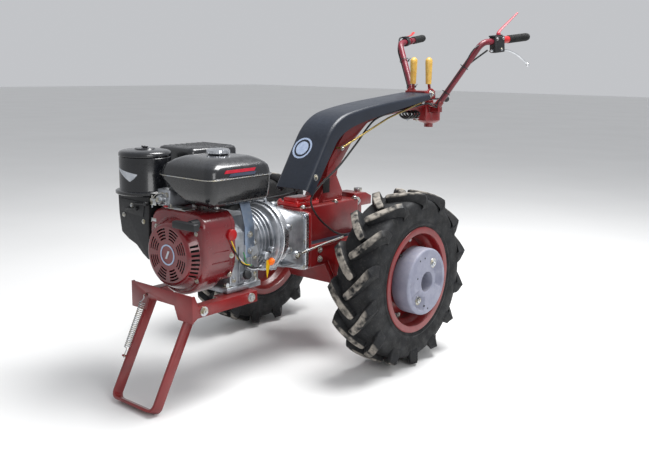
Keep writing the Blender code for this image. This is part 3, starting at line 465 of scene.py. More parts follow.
def nodeGroup(name, sockets):
    tree = bpy.data.node_groups.new(name, "GeometryNodeTree")
    for label, kind in sockets:
        tree.interface.new_socket(label, in_out="INPUT", socket_type="NodeSocket" + kind)
    tree.interface.new_socket("Geometry", in_out="OUTPUT", socket_type="NodeSocketGeometry")
    return tree, addNode(tree, "NodeGroupInput"), addNode(tree, "NodeGroupOutput")


def realised(tree, given, output, instances):
    whole = addNode(tree, "GeometryNodeRealizeInstances", None, {"Geometry": instances})
    finished = addNode(tree, "GeometryNodeSetMaterial", None,
                       {"Geometry": whole.outputs["Geometry"], "Material": given.outputs["Finish"]})
    tree.links.new(finished.outputs["Geometry"], output.inputs["Geometry"])


def copiesTree():
    tree, given, output = nodeGroup("rowOfCopies",
                                    [("Unit", "Geometry"), ("Count", "Int"), ("Start", "Vector"),
                                                    ("Step", "Vector"), ("Turn", "Vector"),
                                     ("Finish", "Material")])
    line = addNode(tree, "GeometryNodeMeshLine", {"mode": "OFFSET"},
                   {"Count": given.outputs["Count"], "Start Location": given.outputs["Start"],
                    "Offset": given.outputs["Step"]})
    index = addNode(tree, "GeometryNodeInputIndex")
    angle = addNode(tree, "ShaderNodeVectorMath", {"operation": "SCALE"}, {"Scale": index.outputs["Index"]})
    tree.links.new(given.outputs["Turn"], angle.inputs[0])
    placed = addNode(tree, "GeometryNodeInstanceOnPoints", None,
                     {"Points": line.outputs["Mesh"], "Instance": given.outputs["Unit"],
                      "Rotation": angle.outputs["Vector"]})
    realised(tree, given, output, placed.outputs["Instances"])
    return tree


def boltsTree():
    # hexagon heads on washers, one on each point, facing the way its attribute says
    tree, given, output = nodeGroup("hexagonBolts", [("Places", "Geometry"), ("Across", "Float"),
                                                     ("Height", "Float"), ("Finish", "Material")])
    across = given.outputs["Across"]

    def part(kind, share, heightShare, sides, lift):
        radius = addNode(tree, "ShaderNodeMath", {"operation": "MULTIPLY"})
        tree.links.new(across, radius.inputs[0])
        radius.inputs[1].default_value = share
        tall = addNode(tree, "ShaderNodeMath", {"operation": "MULTIPLY"})
        tree.links.new(given.outputs["Height"], tall.inputs[0])
        tall.inputs[1].default_value = heightShare
        up = addNode(tree, "ShaderNodeMath", {"operation": "MULTIPLY"})
        tree.links.new(given.outputs["Height"], up.inputs[0])
        up.inputs[1].default_value = lift
        top = addNode(tree, "ShaderNodeMath", {"operation": "MULTIPLY"})
        tree.links.new(radius.outputs[0], top.inputs[0])
        top.inputs[1].default_value = kind
        cone = addNode(tree, "GeometryNodeMeshCone", {"Vertices": sides},
                       {"Radius Top": top.outputs[0], "Radius Bottom": radius.outputs[0],
                        "Depth": tall.outputs[0]})
        rise = addNode(tree, "ShaderNodeCombineXYZ", None, {"Z": up.outputs[0]})
        lifted = addNode(tree, "GeometryNodeTransform", None,
                         {"Geometry": cone.outputs["Mesh"], "Translation": rise.outputs["Vector"]})
        return lifted.outputs["Geometry"]

    bolt = addNode(tree, "GeometryNodeJoinGeometry")
    # share of the width across corners, share of the height, sides, and where it starts up the height
    for taper, share, heightShare, sides, lift in ((0.97, 0.86, 0.22, 20, 0), (1.0, 0.56, 0.66, 6, 0.22),
                                                   (0.86, 0.56, 0.10, 6, 0.88), (0.9, 0.26, 0.30, 12, 0.95)):
        tree.links.new(part(taper, share, heightShare, sides, lift), bolt.inputs["Geometry"])
    facing = addNode(tree, "GeometryNodeInputNamedAttribute", {"data_type": "FLOAT_VECTOR", "Name": "facing"})
    turnedTo = addNode(tree, "FunctionNodeAlignRotationToVector", {"axis": "Z"},
                       {"Vector": facing.outputs["Attribute"]})
    placed = addNode(tree, "GeometryNodeInstanceOnPoints", None,
                     {"Points": given.outputs["Places"], "Instance": bolt.outputs["Geometry"],
                      "Rotation": turnedTo.outputs["Rotation"]})
    realised(tree, given, output, placed.outputs["Instances"])
    return tree


def springTree():
    tree, given, output = nodeGroup("coilSpring", [("Turns", "Float"), ("Radius", "Float"),
                                                   ("Length", "Float"), ("Wire", "Float"),
                                                   ("Start", "Vector"),
                                                   ("Lean", "Vector"), ("Finish", "Material")])
    spiral = addNode(tree, "GeometryNodeCurveSpiral", {"Resolution": 14},
                     {"Rotations": given.outputs["Turns"], "Start Radius": given.outputs["Radius"],
                      "End Radius": given.outputs["Radius"], "Height": given.outputs["Length"]})
    wire = addNode(tree, "GeometryNodeCurvePrimitiveCircle", {"Resolution": 8},
                   {"Radius": given.outputs["Wire"]})
    coil = addNode(tree, "GeometryNodeCurveToMesh", {"Fill Caps": True},
                   {"Curve": spiral.outputs["Curve"], "Profile Curve": wire.outputs["Curve"]})
    placed = addNode(tree, "GeometryNodeTransform", None,
                     {"Geometry": coil.outputs["Mesh"], "Translation": given.outputs["Start"],
                      "Rotation": given.outputs["Lean"]})
    realised(tree, given, output, placed.outputs["Geometry"])
    return tree


copies = copiesTree()
bolts = boltsTree()
springs = springTree()


def grown(name, tree, shape, values, body, stands=(), smoothDegrees=35):
    # a node tree over a shape, made into a plain mesh
    # the values go in by socket identifier before it is evaluated
    mesh = bpy.data.meshes.new(name)
    shape.to_mesh(mesh)
    shape.free()
    source = bpy.data.objects.new(name + "Source", mesh)
    modifier = source.modifiers.new("grow", "NODES")
    modifier.node_group = tree
    identifiers = {item.name: item.identifier for item in tree.interface.items_tree if item.in_out == "INPUT"}
    for label, value in values.items():
        modifier[identifiers[label]] = value
    bpy.context.scene.collection.objects.link(source)
    bpy.context.view_layer.update()
    return settle(flattened(name, source), values["Finish"], body, stands, smoothDegrees)


def repeated(name, unit, count, start, step, turn, finish, body, stands=(), smoothDegrees=35):
    # the unit is shaped round its own origin, and start places the first copy
    values = {"Count": count, "Start": at(*start), "Step": Vector(step), "Turn": Vector(turn),
              "Finish": finish}
    return grown(name, copies, unit, values, body, stands, smoothDegrees)


def bolted(name, places, across, height, body, finish=None):
    # places are pairs of a point and the way the head faces
    points = bmesh.new()
    facing = points.verts.layers.float_vector.new("facing")
    for place, direction in places:
        points.verts.new(at(*place))[facing] = Vector(direction).normalized()
    values = {"Across": across, "Height": height, "Finish": finish or zincPlateAndHighlight}
    return grown(name, bolts, points, values, body)


print("shapes ready")

wheelSizes = {"track": 0.675, "crown": 0.2705, "seat": 0.1563, "flange": 0.176,
              "flangeEdge": 0.073, "sheet": 0.004, "lugsEachSide": 14, "rimBolts": 6, "boltCircle": 0.126,
              "disc": 0.020, "weightRadius": 0.110, "weightFace": 0.1055, "weightBore": 0.033}


def lugShape(half):
    # one lug of the chevron tread, round the origin
    # it has a nose over the middle, a curved arm and a foot on the sidewall
    stations = [  # across, radius of the top, degrees round, radius of the foot, across of the foot, width
        (-0.012, 0.2880, -3.4, 0.262, -0.012, 0.015), (-0.006, 0.2912, -2.2, 0.262, -0.006, 0.021),
        (0.012, 0.2915, 1.0, 0.262, 0.012, 0.023), (0.032, 0.2908, 5.2, 0.261, 0.032, 0.023),
        (0.050, 0.2895, 9.6, 0.258, 0.050, 0.023), (0.064, 0.2878, 13.2, 0.252, 0.058, 0.024),
        (0.0745, 0.2845, 15.8, 0.246, 0.064, 0.026), (0.0790, 0.2740, 17.0, 0.240, 0.066, 0.028),
        (0.0797, 0.2580, 17.8, 0.232, 0.066, 0.030), (0.0780, 0.2420, 18.2, 0.226, 0.066, 0.031),
        (0.0730, 0.2320, 18.2, 0.222, 0.066, 0.030)]
    tops = []
    feet = []
    for across, radius, degrees, footRadius, footAcross, _ in stations:
        angle = radians(degrees)
        tops.append(Vector((half * across, -radius * cos(angle), radius * sin(angle))))
        feet.append(Vector((half * footAcross, -footRadius * cos(angle), footRadius * sin(angle))))
    rings = []
    for i, (top, foot) in enumerate(zip(tops, feet)):
        along = (tops[min(i + 1, len(tops) - 1)] - tops[max(i - 1, 0)]).normalized()
        wide = along.cross(top - foot).normalized() * stations[i][5] / 2
        low = foot.lerp(top, 0.15)
        shoulder = foot.lerp(top, 0.95)
        rings.append([low - wide * 1.5, shoulder - wide * 1.02, top - wide * 0.90, top + wide * 0.90,
                      shoulder + wide * 1.02, low + wide * 1.5])
    return polished(loft(rings))


def tyre(side, sign):
    sizes = wheelSizes
    middle = (sign * sizes["track"] / 2, 0, 0)
    crown = sizes["crown"]
    seat = sizes["seat"]
    wall = smoothPath([Vector(p) for p in (
        (0.1740, 0.0690, 0), (0.1800, 0.0700, 0), (0.1845, 0.0735, 0), (0.1890, 0.0740, 0),
                                           (0.1925, 0.0715, 0),
        (0.2050, 0.0735, 0), (0.2250, 0.0750, 0), (0.2430, 0.0730, 0), (0.2560, 0.0670, 0),
                                           (0.2640, 0.0560, 0),
        (crown - 0.0015, 0.0300, 0), (crown, 0.0080, 0))], 0.0035)
    outer = [(seat, 0.0600), (seat, 0.0685)] + [(point.x, point.y) for point in wall]
    outline = outer + [(radius, -along) for radius, along in reversed(outer)]
    made("tyre_carcass_" + side, turned(outline, middle, "x", 128), rubber[side], "wheel_" + side,
         ["tyre_" + side])
    count = sizes["lugsEachSide"]
    for half, label in ((1, "outer"), (-1, "inner")):
        lug = lugShape(half * sign)
        if half < 0:
            stagger = pi / count
            moved(lug, Matrix.Rotation(-stagger, 4, "X"))
        bmesh.ops.bevel(lug, geom=[edge for edge in lug.edges if edge.calc_face_angle(0) > 0.6],
                        offset=0.0014, segments=2, affect="EDGES", profile=0.5)
        repeated(f"tread_lugs_{label}_{side}", lug, count, middle, (0, 0, 0), (2 * pi / count, 0, 0),
                 rubber[side], "wheel_" + side, smoothDegrees=28)


def rim(side, sign):
    sizes = wheelSizes
    middle = (sign * sizes["track"] / 2, 0, 0)
    edge, sheet, flange, bead = sizes["flangeEdge"], sizes["sheet"], sizes["flange"], 0.156
    well = bead - 0.016
    roll = 0.0035
    lip = []
    for k in range(9):    # the rolled edge of the flange
        angle = radians(-90 + 180 * k / 8)
        lip.append((flange - roll + roll * cos(angle), edge - roll + roll * sin(angle)))
    outside = [(bead, edge - sheet - roll), (bead + 0.003, edge - sheet - 0.0032)] + lip
    face = [(bead - 0.001, edge - 0.0015), (bead - sheet, edge - 0.006), (bead - sheet, 0.047),
            (bead - sheet - 0.003, 0.041), (well - sheet + 0.002, 0.031), (well - sheet, 0.026)]
    back = [(well, 0.024), (well + 0.001, 0.029), (bead - 0.003, 0.041), (bead, 0.046)]
    disc = sizes["disc"]
    bowl = [(well - sheet, 0.006), (0.128, 0.0075), (0.120, 0.0110), (0.100, disc + 0.0015),
            (0.094, disc + sheet),
            (0.0265, disc + sheet), (0.0265, disc), (0.094, disc), (0.104, disc - 0.0065), (0.122, 0.0045),
            (0.130, 0.0015), (well - sheet, -0.0005)]

    def flip(row):
        return [(radius, -along) for radius, along in reversed(row)]

    outline = flip(back) + back + outside + face + bowl + flip(face) + flip(outside)
    outline = [(radius, sign * along) for radius, along in outline]
    made("rim_pressed_" + side, turned(outline, middle, "x", 112), redEnamel, "wheel_" + side,
         ["rim_" + side])
    places = []
    for k in range(sizes["rimBolts"]):
        angle = 2 * pi * (k + 0.3) / sizes["rimBolts"]
        y, z = sizes["boltCircle"] * cos(angle), sizes["boltCircle"] * sin(angle)
        places.append(((middle[0] + sign * 0.0085, y, z), (sign, 0, 0)))
        places.append(((middle[0] + sign * 0.0015, y, z), (-sign, 0, 0)))
    bolted("rim_bolts_" + side, places, 0.015, 0.009, "wheel_" + side)
    foot = Vector((middle[0] + sign * 0.036, -0.098, 0.108))
    outward = Vector((sign * 0.75, 0.45, -0.48)).normalized()
    stem = [foot, foot + outward * 0.010, foot + outward * 0.024]
    valve = joined(sweep(stem, 0.0052, 14, 0.0042),
                   sweep([stem[2], foot + outward * 0.033], 0.0048, 14, 0.0044))
    made("tyre_valve_" + side, valve, softRubber, "wheel_" + side, bevel=0.0006)


def weight(side, sign):
    sizes = wheelSizes
    x0 = sign * sizes["track"] / 2
    radius, faceAt, bore, back = sizes["weightRadius"], sizes["weightFace"], sizes["weightBore"], 0.0245
    rings = []
    count = 144

    def ring(size, along, relief=False):
        points = []
        for k in range(count):
            angle = 2 * pi * k / count
            depth = recess(size, angle) if relief else 0
            points.append(Vector((x0 + sign * (along - depth), -size * cos(angle), size * sin(angle))))
        return points

    def recess(size, angle):
        # two cast pockets and a low step, with soft edges
        depth = 0
        for middleDegrees, spanDegrees, near, far, deep in ((168, 34, 0.050, 0.094, 0.013),
                                                            (-52, 30, 0.048, 0.096, 0.013),
                                                            (-8, 16, 0.074, 0.099, 0.005)):
            off = (angle - radians(middleDegrees) + pi) % (2 * pi) - pi
            edgeGap = (radians(spanDegrees) - abs(off)) * size
            gap = min(edgeGap, size - near, far - size)
            depth = max(depth, deep * min(1, max(0, gap / 0.009)) ** 0.8)
        return depth

    rings.append(ring(bore, back))
    rings += [ring(radius - 0.030, back), ring(radius - 0.004, back + 0.014), ring(radius, back + 0.020),
              ring(radius + 0.0, faceAt - 0.008)]
    for k in range(1, 6):
        angle = rightAngle * k / 5
        rings.append(ring(radius - 0.007 + 0.007 * cos(angle), faceAt - 0.007 + 0.007 * sin(angle)))
    steps = 22
    for k in range(1, steps + 1):
        size = radius - 0.007 + (bore + 0.003 - radius + 0.007) * k / steps
        rings.append(ring(size, faceAt, True))
    rings += [ring(bore + 0.0008, faceAt - 0.0008), ring(bore, faceAt - 0.003), ring(bore, faceAt - 0.030)]
    made("weight_casting_" + side, polished(loft(rings, closed=True)), greyIron, "wheel_" + side,
         ["wheel_weight_" + side], smoothDegrees=50)
    places = []
    for degrees in (118, -62):
        angle = radians(degrees)
        distance = 0.066
        depth = recess(distance, angle)
        places.append(((x0 + sign * (faceAt - depth), -distance * cos(angle), distance * sin(angle)),
                       (sign, 0, 0)))
    bolted("weight_bolts_" + side, places, 0.019, 0.007, "wheel_" + side)
    # dark discs on the weight's face: painted shade inside the drilled holes
    holes = []
    for degrees, distance in ((78, 0.083), (60, 0.088), (-82, 0.080), (-96, 0.092), (20, 0.060)):
        angle = radians(degrees)
        centre = Vector((x0 + sign * (faceAt + 0.0001), -distance * cos(angle), distance * sin(angle)))
        holes.append(sweep([centre - Vector((sign * 0.002, 0, 0)), centre], 0.0032, 14))
    made("weight_drilling_shade_" + side, joined(*holes), paintedShadeInside, "wheel_" + side)


rubber = {side: tyreRubber(side) for side in ("left", "right")}
for side, sign in (("left", 1), ("right", -1)):
    tyre(side, sign)
    rim(side, sign)
    weight(side, sign)
    softened("axle_" + side, zincPlateAndHighlight, "wheel_" + side, 0.001)
print("wheels ready")

engineSizes = {"crank": 0.140, "coverRadius": 0.127, "coverTop": 0.266, "coverFront": -0.672,
               "coverRear": -0.5497,
               "recoilFront": -0.7055, "discRadius": 0.088, "emblem": 0.033, "sectors": 8, "arcs": 4,
               "tilt": radians(25), "cylinderStart": 0.0953, "cylinderEnd": 0.205, "headEnd": 0.262,
               "half": 0.055, "fins": 7, "headFins": 4}


def recoilCover():
    # pressed cover with sectors of curved air slots, and a row of straight ones down its left flank
    sizes = engineSizes
    y0, disc = sizes["recoilFront"], sizes["discRadius"]
    segments = 96
    perSector = segments // sizes["sectors"]
    profile = [(sizes["emblem"], 0.0015, False), (0.040, 0.0010, False), (0.0465, 0.0008, False)]
    radius = 0.0465
    for k in range(sizes["arcs"]):
        profile.append((radius + 0.0044, 0.0006, True))
        profile.append((radius + 0.0090, 0.0004, False))
        radius += 0.0090
    profile += [(disc - 0.003, 0.0004, False), (disc, 0.0012, False), (disc + 0.005, 0.0046, False),
                (disc + 0.0075, 0.0090, False), (0.1075, 0.0300, "flank"), (0.1085, 0.0328, False),
                (0.1138, 0.0334, False)]
    shape = bmesh.new()
    grid = []
    for size, depth, _ in profile:
        row = []
        for k in range(segments):
            angle = 2 * pi * k / segments
            row.append(shape.verts.new((size * cos(angle), y0 + depth, sizes["crank"] + size * sin(angle))))
        grid.append(row)
    for row in range(len(grid) - 1):
        cutOut = profile[row + 1][2]
        for k in range(segments):
            place = k % perSector
            if cutOut is True and 2 <= place <= perSector - 3:
                continue
            degrees = (360 * k / segments + 180) % 360 - 180
            if cutOut == "flank" and -34 <= degrees < 26 and k % 2:
                continue
            j = (k + 1) % segments
            shape.faces.new((grid[row][k], grid[row][j], grid[row + 1][j], grid[row + 1][k]))
    centre = [shape.verts.new((0, y0 + 0.0015, sizes["crank"]))]
    for k in range(segments):
        shape.faces.new((centre[0], grid[0][(k + 1) % segments], grid[0][k]))
    bmesh.ops.recalc_face_normals(shape, faces=shape.faces)
    bmesh.ops.solidify(shape, geom=shape.faces[:], thickness=0.0018)
    highest = min(vert.co.y for vert in shape.verts)
    bmesh.ops.translate(shape, vec=(0, max(0, y0 - highest), 0), verts=shape.verts)
    bmesh.ops.recalc_face_normals(shape, faces=shape.faces)
    made("recoil_cover", shape, redCover, "chassis", ["recoil_starter"], 0.0006, 1, 40)
    # the fan behind the slots, in near-black painted shade
    backing = turned([(0, y0 + 0.020), (0.084, y0 + 0.020), (0.104, y0 + 0.0300), (0.104, y0 + 0.0325),
                      (0, y0 + 0.0325)], (0, 0, sizes["crank"]), "y", 48)
    made("cooling_fan_back", backing, paintedShadeInside, "chassis")
    blade = block((-0.0012, 0.006, 0.040), (0.0012, 0.020, 0.083))
    repeated("cooling_fan_blades", blade, 18, (0, y0, sizes["crank"]), (0, 0, 0), (0, 2 * pi / 18, 0),
             blackPlastic,
             "chassis")
    # plain pale ring badge with a bare middle
    ring = turned([(0.0265, y0 - 0.0002), (0.0310, y0 - 0.0002), (0.0310, y0 + 0.0010),
                   (0.0265, y0 + 0.0010)],
                  (0, 0, sizes["crank"]), "y", 64)
    made("recoil_badge_ring", ring, paleFilm, "chassis")
    slash = [(-0.010, 0.128), (-0.002, 0.128), (0.010, 0.152), (0.002, 0.152)]
    bar = prism(slash, "y", y0 - 0.0002, y0 + 0.001)
    made("recoil_badge_bar", bar, silverFilmAndHighlight, "chassis")
    places = []
    for degrees in (38, 142, 218, 322):
        angle = radians(degrees)
        places.append(((0.1115 * cos(angle), y0 + 0.0332, sizes["crank"] + 0.1115 * sin(angle)), (0, -1, 0)))
    bolted("recoil_cover_screws", places, 0.009, 0.004, "chassis")


def fanShroud():
    sizes = engineSizes
    outline = []
    steps = 40
    for k in range(steps + 1):
        angle = radians(180 + 180 * k / steps)
        outline.append((sizes["coverRadius"] * cos(angle) * 0.96,
                        sizes["crank"] + sizes["coverRadius"] * sin(angle)))
    corner = [(0.121, 0.205), (0.117, 0.236), (0.100, 0.256), (0.082, sizes["coverTop"] - 0.003),
              (0.0, sizes["coverTop"]), (-0.070, sizes["coverTop"] - 0.001), (-0.098, 0.256), (-0.116, 0.232),
              (-0.1215, 0.200)]
    smooth = [(p.x, p.y) for p in smoothPath([Vector((a, b, 0)) for a, b in corner], 0.006)]
    outline += smooth
    rings = []
    for y, inset in ((sizes["coverFront"] + 0.0, 0.0130), (sizes["coverFront"] + 0.0015, 0.0085),
                     (sizes["coverFront"] + 0.005, 0.0040), (sizes["coverFront"] + 0.011, 0.0010),
                     (sizes["coverFront"] + 0.018, 0.0), (sizes["coverRear"] - 0.014, 0.0),
                     (sizes["coverRear"] - 0.0135, -0.0008), (sizes["coverRear"] - 0.001, -0.0008),
                     (sizes["coverRear"], 0.0003)):
        ring = []
        for a, b in outline:
            out = Vector((a, b - sizes["crank"]))
            ring.append(Vector((a, y, b)) - Vector((out.x, 0, out.y)).normalized() * inset)
        rings.append(ring)
    notch = block((-0.2, sizes["coverRear"] - 0.040, -0.02), (0.2, sizes["coverRear"] + 0.02, 0.060))
    made("fan_shroud_shell", polished(loft(rings)), redCover, "chassis", ["fan_shroud"],
         smoothDegrees=30, cut=notch)
    # ribs pressed into the left flank and the top
    rib = [block((0.1195, -0.640, 0.118), (0.1228, -0.575, 0.1215)),
           block((0.1195, -0.640, 0.150), (0.1228, -0.575, 0.1535))]
    made("shroud_ribs", joined(*rib), redCover, "chassis", bevel=0.0012)
    # engine switch with its yellow lead
    switch = turned([(0, 0.1180), (0.0165, 0.1180), (0.0170, 0.1200), (0.0170, 0.1290), (0.0120, 0.1310),
                     (0, 0.1310)],
                    (0, -0.566, 0.196), "x", 40)
    made("engine_switch", switch, redSwitch, "chassis", bevel=0.0012)
    clip = joined(block((-0.112, -0.6725, 0.222), (-0.088, -0.6705, 0.232)),
                  block((-0.112, -0.6725, 0.219), (-0.109, -0.6600, 0.232)))
    made("shroud_clip", clip, zincPlateAndHighlight, "chassis", bevel=0.0006)
    bolted("shroud_bolts", [((0.121, -0.565, 0.135), (1, 0, 0)), ((0.112, -0.565, 0.075), (1, 0, -0.5)),
                            ((-0.121, -0.565, 0.150), (-1, 0, 0)), ((0.060, -0.565, 0.2665), (0, 0, 1)),
                            ((0.090, -0.6725, 0.182), (0, -1, 0))], 0.011, 0.006, "chassis")


def starterHandle():
    y = engineSizes["coverFront"] - 0.044
    grip = prism(roundedOutline((0.048, 0.142), (-0.0105, 0.0105), 0.004, 5), "y", -0.0105, 0.0105)
    moved(grip, Matrix.Translation((0, y, 0.240)))
    neck = sweep([(0.095, y + 0.004, 0.240), (0.095, y + 0.020, 0.240), (0.095, -0.6725, 0.240)], 0.0095, 24,
                 0.0080)
    made("pull_handle", joined(grip, neck), blackPlastic, "chassis", ["starter_handle"],
         0.0028, 3)
    collar = turned([(0.0085, -0.7000), (0.0125, -0.6990), (0.0135, -0.6726), (0.0085, -0.6726)],
                    (0.095, 0, 0.240), "y", 32)
    made("pull_rope_collar", collar, blackPlastic, "chassis")


def alongCylinder(distance, across, y):
    tilt = engineSizes["tilt"]
    return Vector((-distance * cos(tilt) + across * sin(tilt), y,
                   engineSizes["crank"] + distance * sin(tilt) + across * cos(tilt)))


def cylinderBlock():
    # barrel and head with cooling fins, the valve cover and the spark plug lead
    sizes = engineSizes
    half = sizes["half"]
    front, rear = -0.5250, -0.4320

    def slab(start, end, halfAcross, y0, y1):
        corners = [(-halfAcross, y0), (halfAcross, y0), (halfAcross, y1), (-halfAcross, y1)]
        return polished(loft([[alongCylinder(d, a, y) for a, y in corners] for d in (start, end)]))

    core = slab(sizes["cylinderStart"], sizes["cylinderEnd"], half - 0.012, front + 0.012, rear - 0.012)
    made("barrel_core", core, castAluminium, "chassis", ["cylinder"], 0.004)
    headCore = slab(sizes["cylinderEnd"] + 0.0003, sizes["headEnd"], half - 0.010, front + 0.010,
                    rear - 0.010)
    made("head_core", headCore, castAluminium, "chassis", ["cylinder_head"], 0.004)
    fin = slab(0, 0.0028, half, front, rear)
    moved(fin, Matrix.Translation(-alongCylinder(0, 0, 0)))
    along = alongCylinder(1, 0, 0) - alongCylinder(0, 0, 0)
    pitch = (sizes["cylinderEnd"] - sizes["cylinderStart"] - 0.004) / sizes["fins"]
    bmesh.ops.bevel(fin, geom=fin.edges[:], offset=0.0008, segments=2, affect="EDGES", profile=0.5)
    spare = fin.copy()
    repeated("barrel_fins", fin, sizes["fins"] + 1, alongCylinder(sizes["cylinderStart"] + 0.001, 0, 0),
             along * pitch,
             (0, 0, 0), castAluminium, "chassis")
    headPitch = (sizes["headEnd"] - sizes["cylinderEnd"] - 0.005) / sizes["headFins"]
    repeated("head_fins", spare, sizes["headFins"] + 1, alongCylinder(sizes["cylinderEnd"] + 0.001, 0, 0),
             along * headPitch, (0, 0, 0), castAluminium, "chassis")
    cover = slab(sizes["headEnd"], 0.2845, half - 0.012, front + 0.010, rear - 0.010)
    made("valve_cover", cover, blackEnamel, "chassis", bevel=0.006, rounds=3)
    corners = [(a, y) for a in (-0.034, 0.034) for y in (front + 0.017, rear - 0.017)]
    bolted("valve_cover_bolts", [(alongCylinder(0.2840, a, y), along) for a, y in corners], 0.010, 0.004,
           "chassis")
    plug = alongCylinder(0.232, -0.020, front + 0.004)
    boot = smoothPath([plug, plug + Vector((0, -0.016, 0)), plug + Vector((0.006, -0.030, 0.006)),
                       plug + Vector((0.030, -0.038, 0.014))], 0.003)
    made("spark_plug_cap", sweep(boot, 0.0085, 20, 0.0065), cableSleeve, "chassis")
    lead = smoothPath([boot[-1], boot[-1] + Vector((0.020, -0.004, 0.004)), Vector((-0.128, -0.556, 0.246)),
                       Vector((-0.112, -0.556, 0.252))], 0.004)
    made("spark_plug_lead", sweep(lead, 0.0035, 12), cableSleeve, "chassis")


def crankcase():
    softened("crankcase", castAluminium, "chassis", 0.003)
    # side cover flange with its bolts, oil level boss, and the feet on the rails
    low = 0.0128
    places = []
    for x in (-0.090, 0.090):
        for y in (-0.555, -0.440):
            places.append(((x, y, low + 0.0180), (0, 0, 1)))
    bolted("engine_foot_bolts", places, 0.017, 0.010, "chassis")
    places = [((0.0985, y, z), (1, 0, 0)) for y in (-0.535, -0.445) for z in (0.050, 0.105, 0.150)]
    bolted("crankcase_side_bolts", places, 0.012, 0.006, "chassis")
    ribs = [block((0.0975, y - 0.0015, 0.036), (0.1030, y + 0.0015, 0.150)) for y in (-0.515, -0.490, -0.465)]
    made("crankcase_ribs", joined(*ribs), castAluminium, "chassis", bevel=0.001)
    # dipstick cap and its neck
    neck = sweep([(0.094, -0.500, 0.052), (0.114, -0.500, 0.060)], 0.013, 24)
    made("dipstick_neck", neck, castAluminium, "chassis", bevel=0.0015)
    cap = sweep([(0.114, -0.500, 0.060), (0.126, -0.500, 0.0648)], 0.015, 8)
    made("dipstick_cap", cap, blackPlastic, "chassis", bevel=0.002)
    # grey metal plate behind the fan cover, up to the tank
    plate = prism([(-0.092, 0.170), (0.094, 0.150), (0.094, 0.215), (0.060, 0.255), (-0.060, 0.262)], "y",
                  -0.549, -0.545)
    made("backing_plate", plate, blueZinc, "chassis", bevel=0.0008)


def wiring():
    # oil alert box, strap, coloured leads and the orange plug on the left flank
    box = block((0.074, -0.478, 0.150), (0.092, -0.440, 0.192))
    made("alert_box", box, blackPlastic, "chassis", bevel=0.002)
    ribs = block((-0.0010, -0.0170, -0.0012), (0.0012, 0.0170, 0.0012))
    repeated("alert_box_ribs", ribs, 7, (0.0925, -0.459, 0.1535), (0, 0, 0.0058), (0, 0, 0), blackPlastic,
             "chassis")
    tag = prism([(-0.014, -0.016), (0.014, -0.012), (0.014, 0.012), (-0.014, 0.016)], "x", 0, 0.0012)
    moved(tag, Matrix.Translation((0.1030, -0.452, 0.128)) @ Matrix.Rotation(radians(18), 4, "X"))
    made("foil_tag", tag, silverFilmAndHighlight, "chassis")
    leads = [("yellow", yellowWire, (0.128, -0.572, 0.180), (0.116, -0.535, 0.118), (0.112, -0.480, 0.088),
              0.0016),
             ("black", cableSleeve, (0.124, -0.566, 0.160), (0.120, -0.520, 0.100), (0.110, -0.430, 0.072),
              0.0026),
             ("white", whiteWire, (0.104, -0.520, 0.120), (0.120, -0.490, 0.080), (0.106, -0.425, 0.076),
              0.0016),
             ("green", greenWire, (0.104, -0.500, 0.130), (0.112, -0.500, 0.100), (0.108, -0.470, 0.086),
              0.0016)]
    for name, finish, first, middle, last, size in leads:
        start, bend, end = Vector(first), Vector(middle), Vector(last)
        path = smoothPath([start, start.lerp(bend, 0.5) + Vector((0.004, 0, -0.004)), bend,
                           bend.lerp(end, 0.5) + Vector((0.005, 0, -0.006)), end], 0.003)
        made(name + "_lead", sweep(path, size, 10), finish, "chassis")
    joints = [sweep([(0.114, -0.486, 0.082), (0.114, -0.468, 0.080)], 0.0055, 16),
              sweep([(0.112, -0.505, 0.070), (0.112, -0.490, 0.066)], 0.0045, 16)]
    made("lead_connectors", joined(*joints), cableSleeve, "chassis", bevel=0.0008)
    foot = Vector((0.088, -0.375, engineSizes["crank"] - 0.055))
    outward = Vector((0.9, 0, -0.45)).normalized()
    start = foot + outward * 0.0085
    plug = sweep([start, start + outward * 0.014], 0.0125, 6, 0.0112)
    made("orange_filler_plug", plug, orangePlug, "chassis", ["oil_plug"], 0.0015)
    ribbon = prism([(-0.010, 0.006), (0.009, 0.004), (0.004, -0.020), (-0.007, -0.054), (-0.012, -0.018)],
                   "x", 0, 0.0006)
    moved(ribbon, Matrix.Translation(start + outward * 0.003 + Vector((0.001, -0.010, 0))))
    made("plug_ribbon", ribbon, yellowWire, "chassis")


recoilCover()
fanShroud()
starterHandle()
cylinderBlock()
crankcase()
wiring()
print("engine ready")

tankSizes = {"bottom": 0.283, "top": 0.418, "seam": 0.3632, "capX": 0.004, "capY": -0.505}


def tankOutline(xRange, yRange, corner, z):
    return [Vector((x, y, z)) for x, y in roundedOutline(xRange, yRange, corner, 10)]


